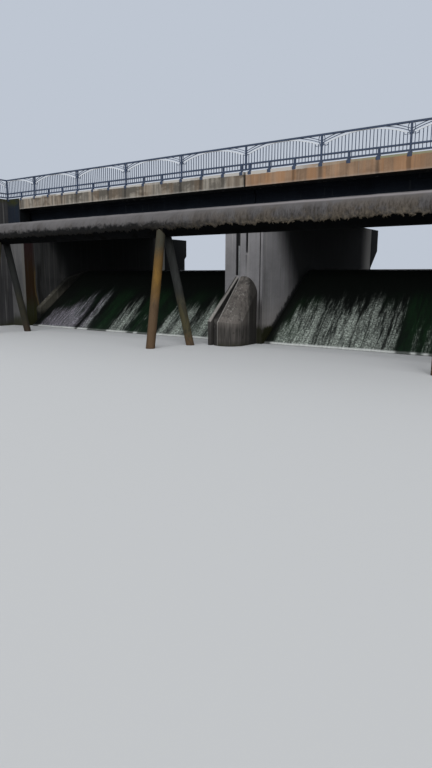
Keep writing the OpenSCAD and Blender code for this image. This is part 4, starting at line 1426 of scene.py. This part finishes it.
class SLUICE_OT_dress_deck(bpy.types.Operator):
    """Finish the edge beams, slab, girders, footways, road and bearings"""
    bl_idname = "sluice.dress_deck"
    bl_label = "Deck"

    def execute(self, context):
        tints = context.scene.sluice_concrete
        steel = context.scene.sluice_steel
        for side, shade in zip(SIDES, (tints.left_beam, tints.right_beam)):
            beam = weathered(f"{side}_beam_concrete", shade, patch=0.8, board=5.0,
                             dirt=0.45 if side == "left" else 0.2, dirt_width=0.12,
                             lime=0.3, moss_level=0.0, moss_fade=0.1, moss_wander=0.0,
                             extra=beam_face(side))
            assign([f"{stream}_{side}_edge_beam" for stream in STREAMS], beam)
        slab = weathered("slab_concrete", tints.slab, dirt=0.2, lime=0.3,
                         moss_level=0.0, moss_wander=0.0)
        assign(pair("deck_slab"), slab)
        girder = girder_face()
        assign([f"{side}_{kind}" for side in SIDES for kind in ("girders", "cross_beams")],
               girder)
        footway = weathered("footway_concrete", tints.footway, patch=0.7, dirt=0.4,
                            lime=0.2, moss_level=0.0, moss_wander=0.0)
        assign(pair("footways"), footway)
        assign(pair("road"), road_surface())
        rubber = plain_grit("bearing_rubber", steel.rubber, 0.8)
        assign(["bearings", "deck_joint"], rubber)
        return {"FINISHED"}


class SLUICE_OT_dress_steel(bpy.types.Operator):
    """Finish the railing, the pipe, its legs and the duct"""
    bl_idname = "sluice.dress_steel"
    bl_label = "Steel"

    def execute(self, context):
        runs = [f"{stream}_{side}_railing" for stream in STREAMS for side in SIDES]
        assign(runs + pair("return_railing"), railing_paint())
        assign(["crossing_pipe"], pipe_bitumen())
        fronts, backs = leg_rust(), leg_paint()
        for place in ("left", "middle", "right"):
            assign([f"{place}_trestle_front_leg"], fronts)
            assign([f"{place}_trestle_back_leg"], backs)
        assign(["pier_duct"], duct_finish())
        return {"FINISHED"}


class SLUICE_OT_weir_faces(bpy.types.Operator):
    """Make the worn, streaked faces of both weirs"""
    bl_idname = "sluice.weir_faces"
    bl_label = "Weir faces"

    def execute(self, context):
        material = weir_face()
        for side in SIDES:
            make_weir(side, material)
        return {"FINISHED"}


class SLUICE_OT_pipe_wrap(bpy.types.Operator):
    """Make the pipe's ragged wrap and the strips that hang from it"""
    bl_idname = "sluice.pipe_wrap"
    bl_label = "Pipe wrap"

    def execute(self, context):
        make_wrap(pipe_wrap())
        make_tatters(tatter_finish())
        return {"FINISHED"}


class SLUICE_OT_deck_trim(bpy.types.Operator):
    """Make the kerb stones and the nuts on the railing feet"""
    bl_idname = "sluice.deck_trim"
    bl_label = "Deck trim"

    def execute(self, context):
        tints = context.scene.sluice_concrete
        stone = weathered("kerb_stone", tints.footway, patch=0.5, dirt=0.3, lime=0.2,
                          moss_level=0.0, moss_wander=0.0)
        make_kerb_stones(stone)
        make_foot_nuts(plain_grit("nut_steel", context.scene.sluice_steel.railing, 0.5))
        return {"FINISHED"}


def camera_frame(settings):
    """The camera's matrix from its yaw to the left of +Y, its pitch below level and its roll."""
    yaw = settings.camera_yaw
    pitch = settings.camera_pitch
    ahead = Vector((-math.sin(yaw) * math.cos(pitch), math.cos(yaw) * math.cos(pitch),
                    -math.sin(pitch)))
    right = Vector((math.cos(yaw), math.sin(yaw), 0))
    up = right.cross(ahead)
    turn = Matrix.Rotation(settings.camera_roll, 3, -ahead)
    right = turn @ right
    up = turn @ up
    axes = Matrix((right, up, -ahead)).transposed()
    return Matrix.Translation(settings.camera_place) @ axes.to_4x4()


def pale_only_to_camera(web, shown, shade):
    """Which rays see the stage, and its colour: as shown to them, and the shade to others."""
    camera, glossy, clear = (web.put(f"Is {kind} Ray", "ShaderNodeLightPath")
                             for kind in ("Camera", "Glossy", "Transmission"))
    seen = camera.at_least(glossy).at_least(clear)
    return seen, web.mix(seen, shade, shown)


class SLUICE_OT_stage(bpy.types.Operator):
    """Set the floor, the lights, the backdrop and the camera"""
    bl_idname = "sluice.stage"
    bl_label = "Stage"

    def execute(self, context):
        scene = context.scene
        settings = scene.sluice_stage
        self.lay_floor(settings)
        self.light_world(scene, settings)
        self.hang_lamps(scene, settings)
        data = bpy.data.cameras.new("view")
        data.lens = settings.camera_lens
        data.clip_end = 1000
        camera = bpy.data.objects.new("view", data)
        camera.matrix_world = camera_frame(settings)
        scene.collection.objects.link(camera)
        scene.camera = camera
        scene.view_settings.view_transform = "Standard"
        return {"FINISHED"}

    def lay_floor(self, settings):
        reach = 400
        mesh = bpy.data.meshes.new("floor")
        mesh.from_pydata([(-reach, -reach, -0.004), (reach, -reach, -0.004),
                          (reach, reach, -0.004), (-reach, reach, -0.004)], [], [(0, 1, 2, 3)])
        floor = bpy.data.objects.new("floor", mesh)
        bpy.context.scene.collection.objects.link(floor)
        material = bpy.data.materials.new("floor")
        material.use_nodes = True
        web = Web(material.node_tree)
        shader = material.node_tree.nodes["Principled BSDF"]
        shader.inputs["Roughness"].default_value = 0.9
        _, shade = pale_only_to_camera(web, settings.floor, settings.floor_shade)
        web.feed(shader.inputs["Base Color"], shade)
        mesh.materials.append(material)

    def light_world(self, scene, settings):
        world = bpy.data.worlds.new("sky")
        world.use_nodes = True
        web = Web(world.node_tree)
        background = world.node_tree.nodes["Background"]
        seen, shade = pale_only_to_camera(web, settings.backdrop, (0.96, 0.98, 1.0))
        web.feed(background.inputs["Color"], shade)
        strength = seen * (1 - settings.sky_light) + settings.sky_light
        web.feed(background.inputs["Strength"], strength)
        scene.world = world

    def hang_lamps(self, scene, settings):
        for name, strength, angles, spread in (
                ("key", settings.key_light, (48, 0, 20), 50),
                ("side", settings.key_light * 0.45, (62, 0, 62), 70),
                ("fill", settings.key_light * 0.22, (55, 0, 205), 70)):
            data = bpy.data.lights.new(name, "SUN")
            data.energy = strength
            data.angle = math.radians(spread)
            lamp = bpy.data.objects.new(name, data)
            lamp.rotation_euler = tuple(math.radians(angle) for angle in angles)
            scene.collection.objects.link(lamp)


STEPS = (SLUICE_OT_node_groups, SLUICE_OT_dress_walls, SLUICE_OT_dress_deck,
         SLUICE_OT_dress_steel, SLUICE_OT_weir_faces, SLUICE_OT_pipe_wrap,
         SLUICE_OT_deck_trim, SLUICE_OT_stage)


class SLUICE_PT_panel(bpy.types.Panel):
    """Lists the steps and their settings"""
    bl_label = "Sluice"
    bl_idname = "SLUICE_PT_panel"
    bl_space_type = "VIEW_3D"
    bl_region_type = "UI"
    bl_category = "Sluice"

    def draw(self, context):
        for step in STEPS:
            self.layout.operator(step.bl_idname)
        for label, settings in SETTINGS.items():
            box = self.layout.box()
            box.label(text=settings.__doc__)
            for name in settings.__annotations__:
                box.prop(getattr(context.scene, label), name)


def register():
    for settings in SETTINGS.values():
        bpy.utils.register_class(settings)
    for step in (*STEPS, SLUICE_PT_panel):
        bpy.utils.register_class(step)
    for label, settings in SETTINGS.items():
        setattr(bpy.types.Scene, label, PointerProperty(type=settings))


def unregister():
    for label in SETTINGS:
        delattr(bpy.types.Scene, label)
    for step in (SLUICE_PT_panel, *reversed(STEPS)):
        bpy.utils.unregister_class(step)
    for settings in SETTINGS.values():
        bpy.utils.unregister_class(settings)


def main():
    register()
    bpy.ops.sluice.node_groups()
    bpy.ops.sluice.dress_walls()
    bpy.ops.sluice.dress_deck()
    bpy.ops.sluice.dress_steel()
    bpy.ops.sluice.weir_faces()
    bpy.ops.sluice.pipe_wrap()
    bpy.ops.sluice.deck_trim()
    bpy.ops.sluice.stage()


if __name__ == "__main__":
    main()
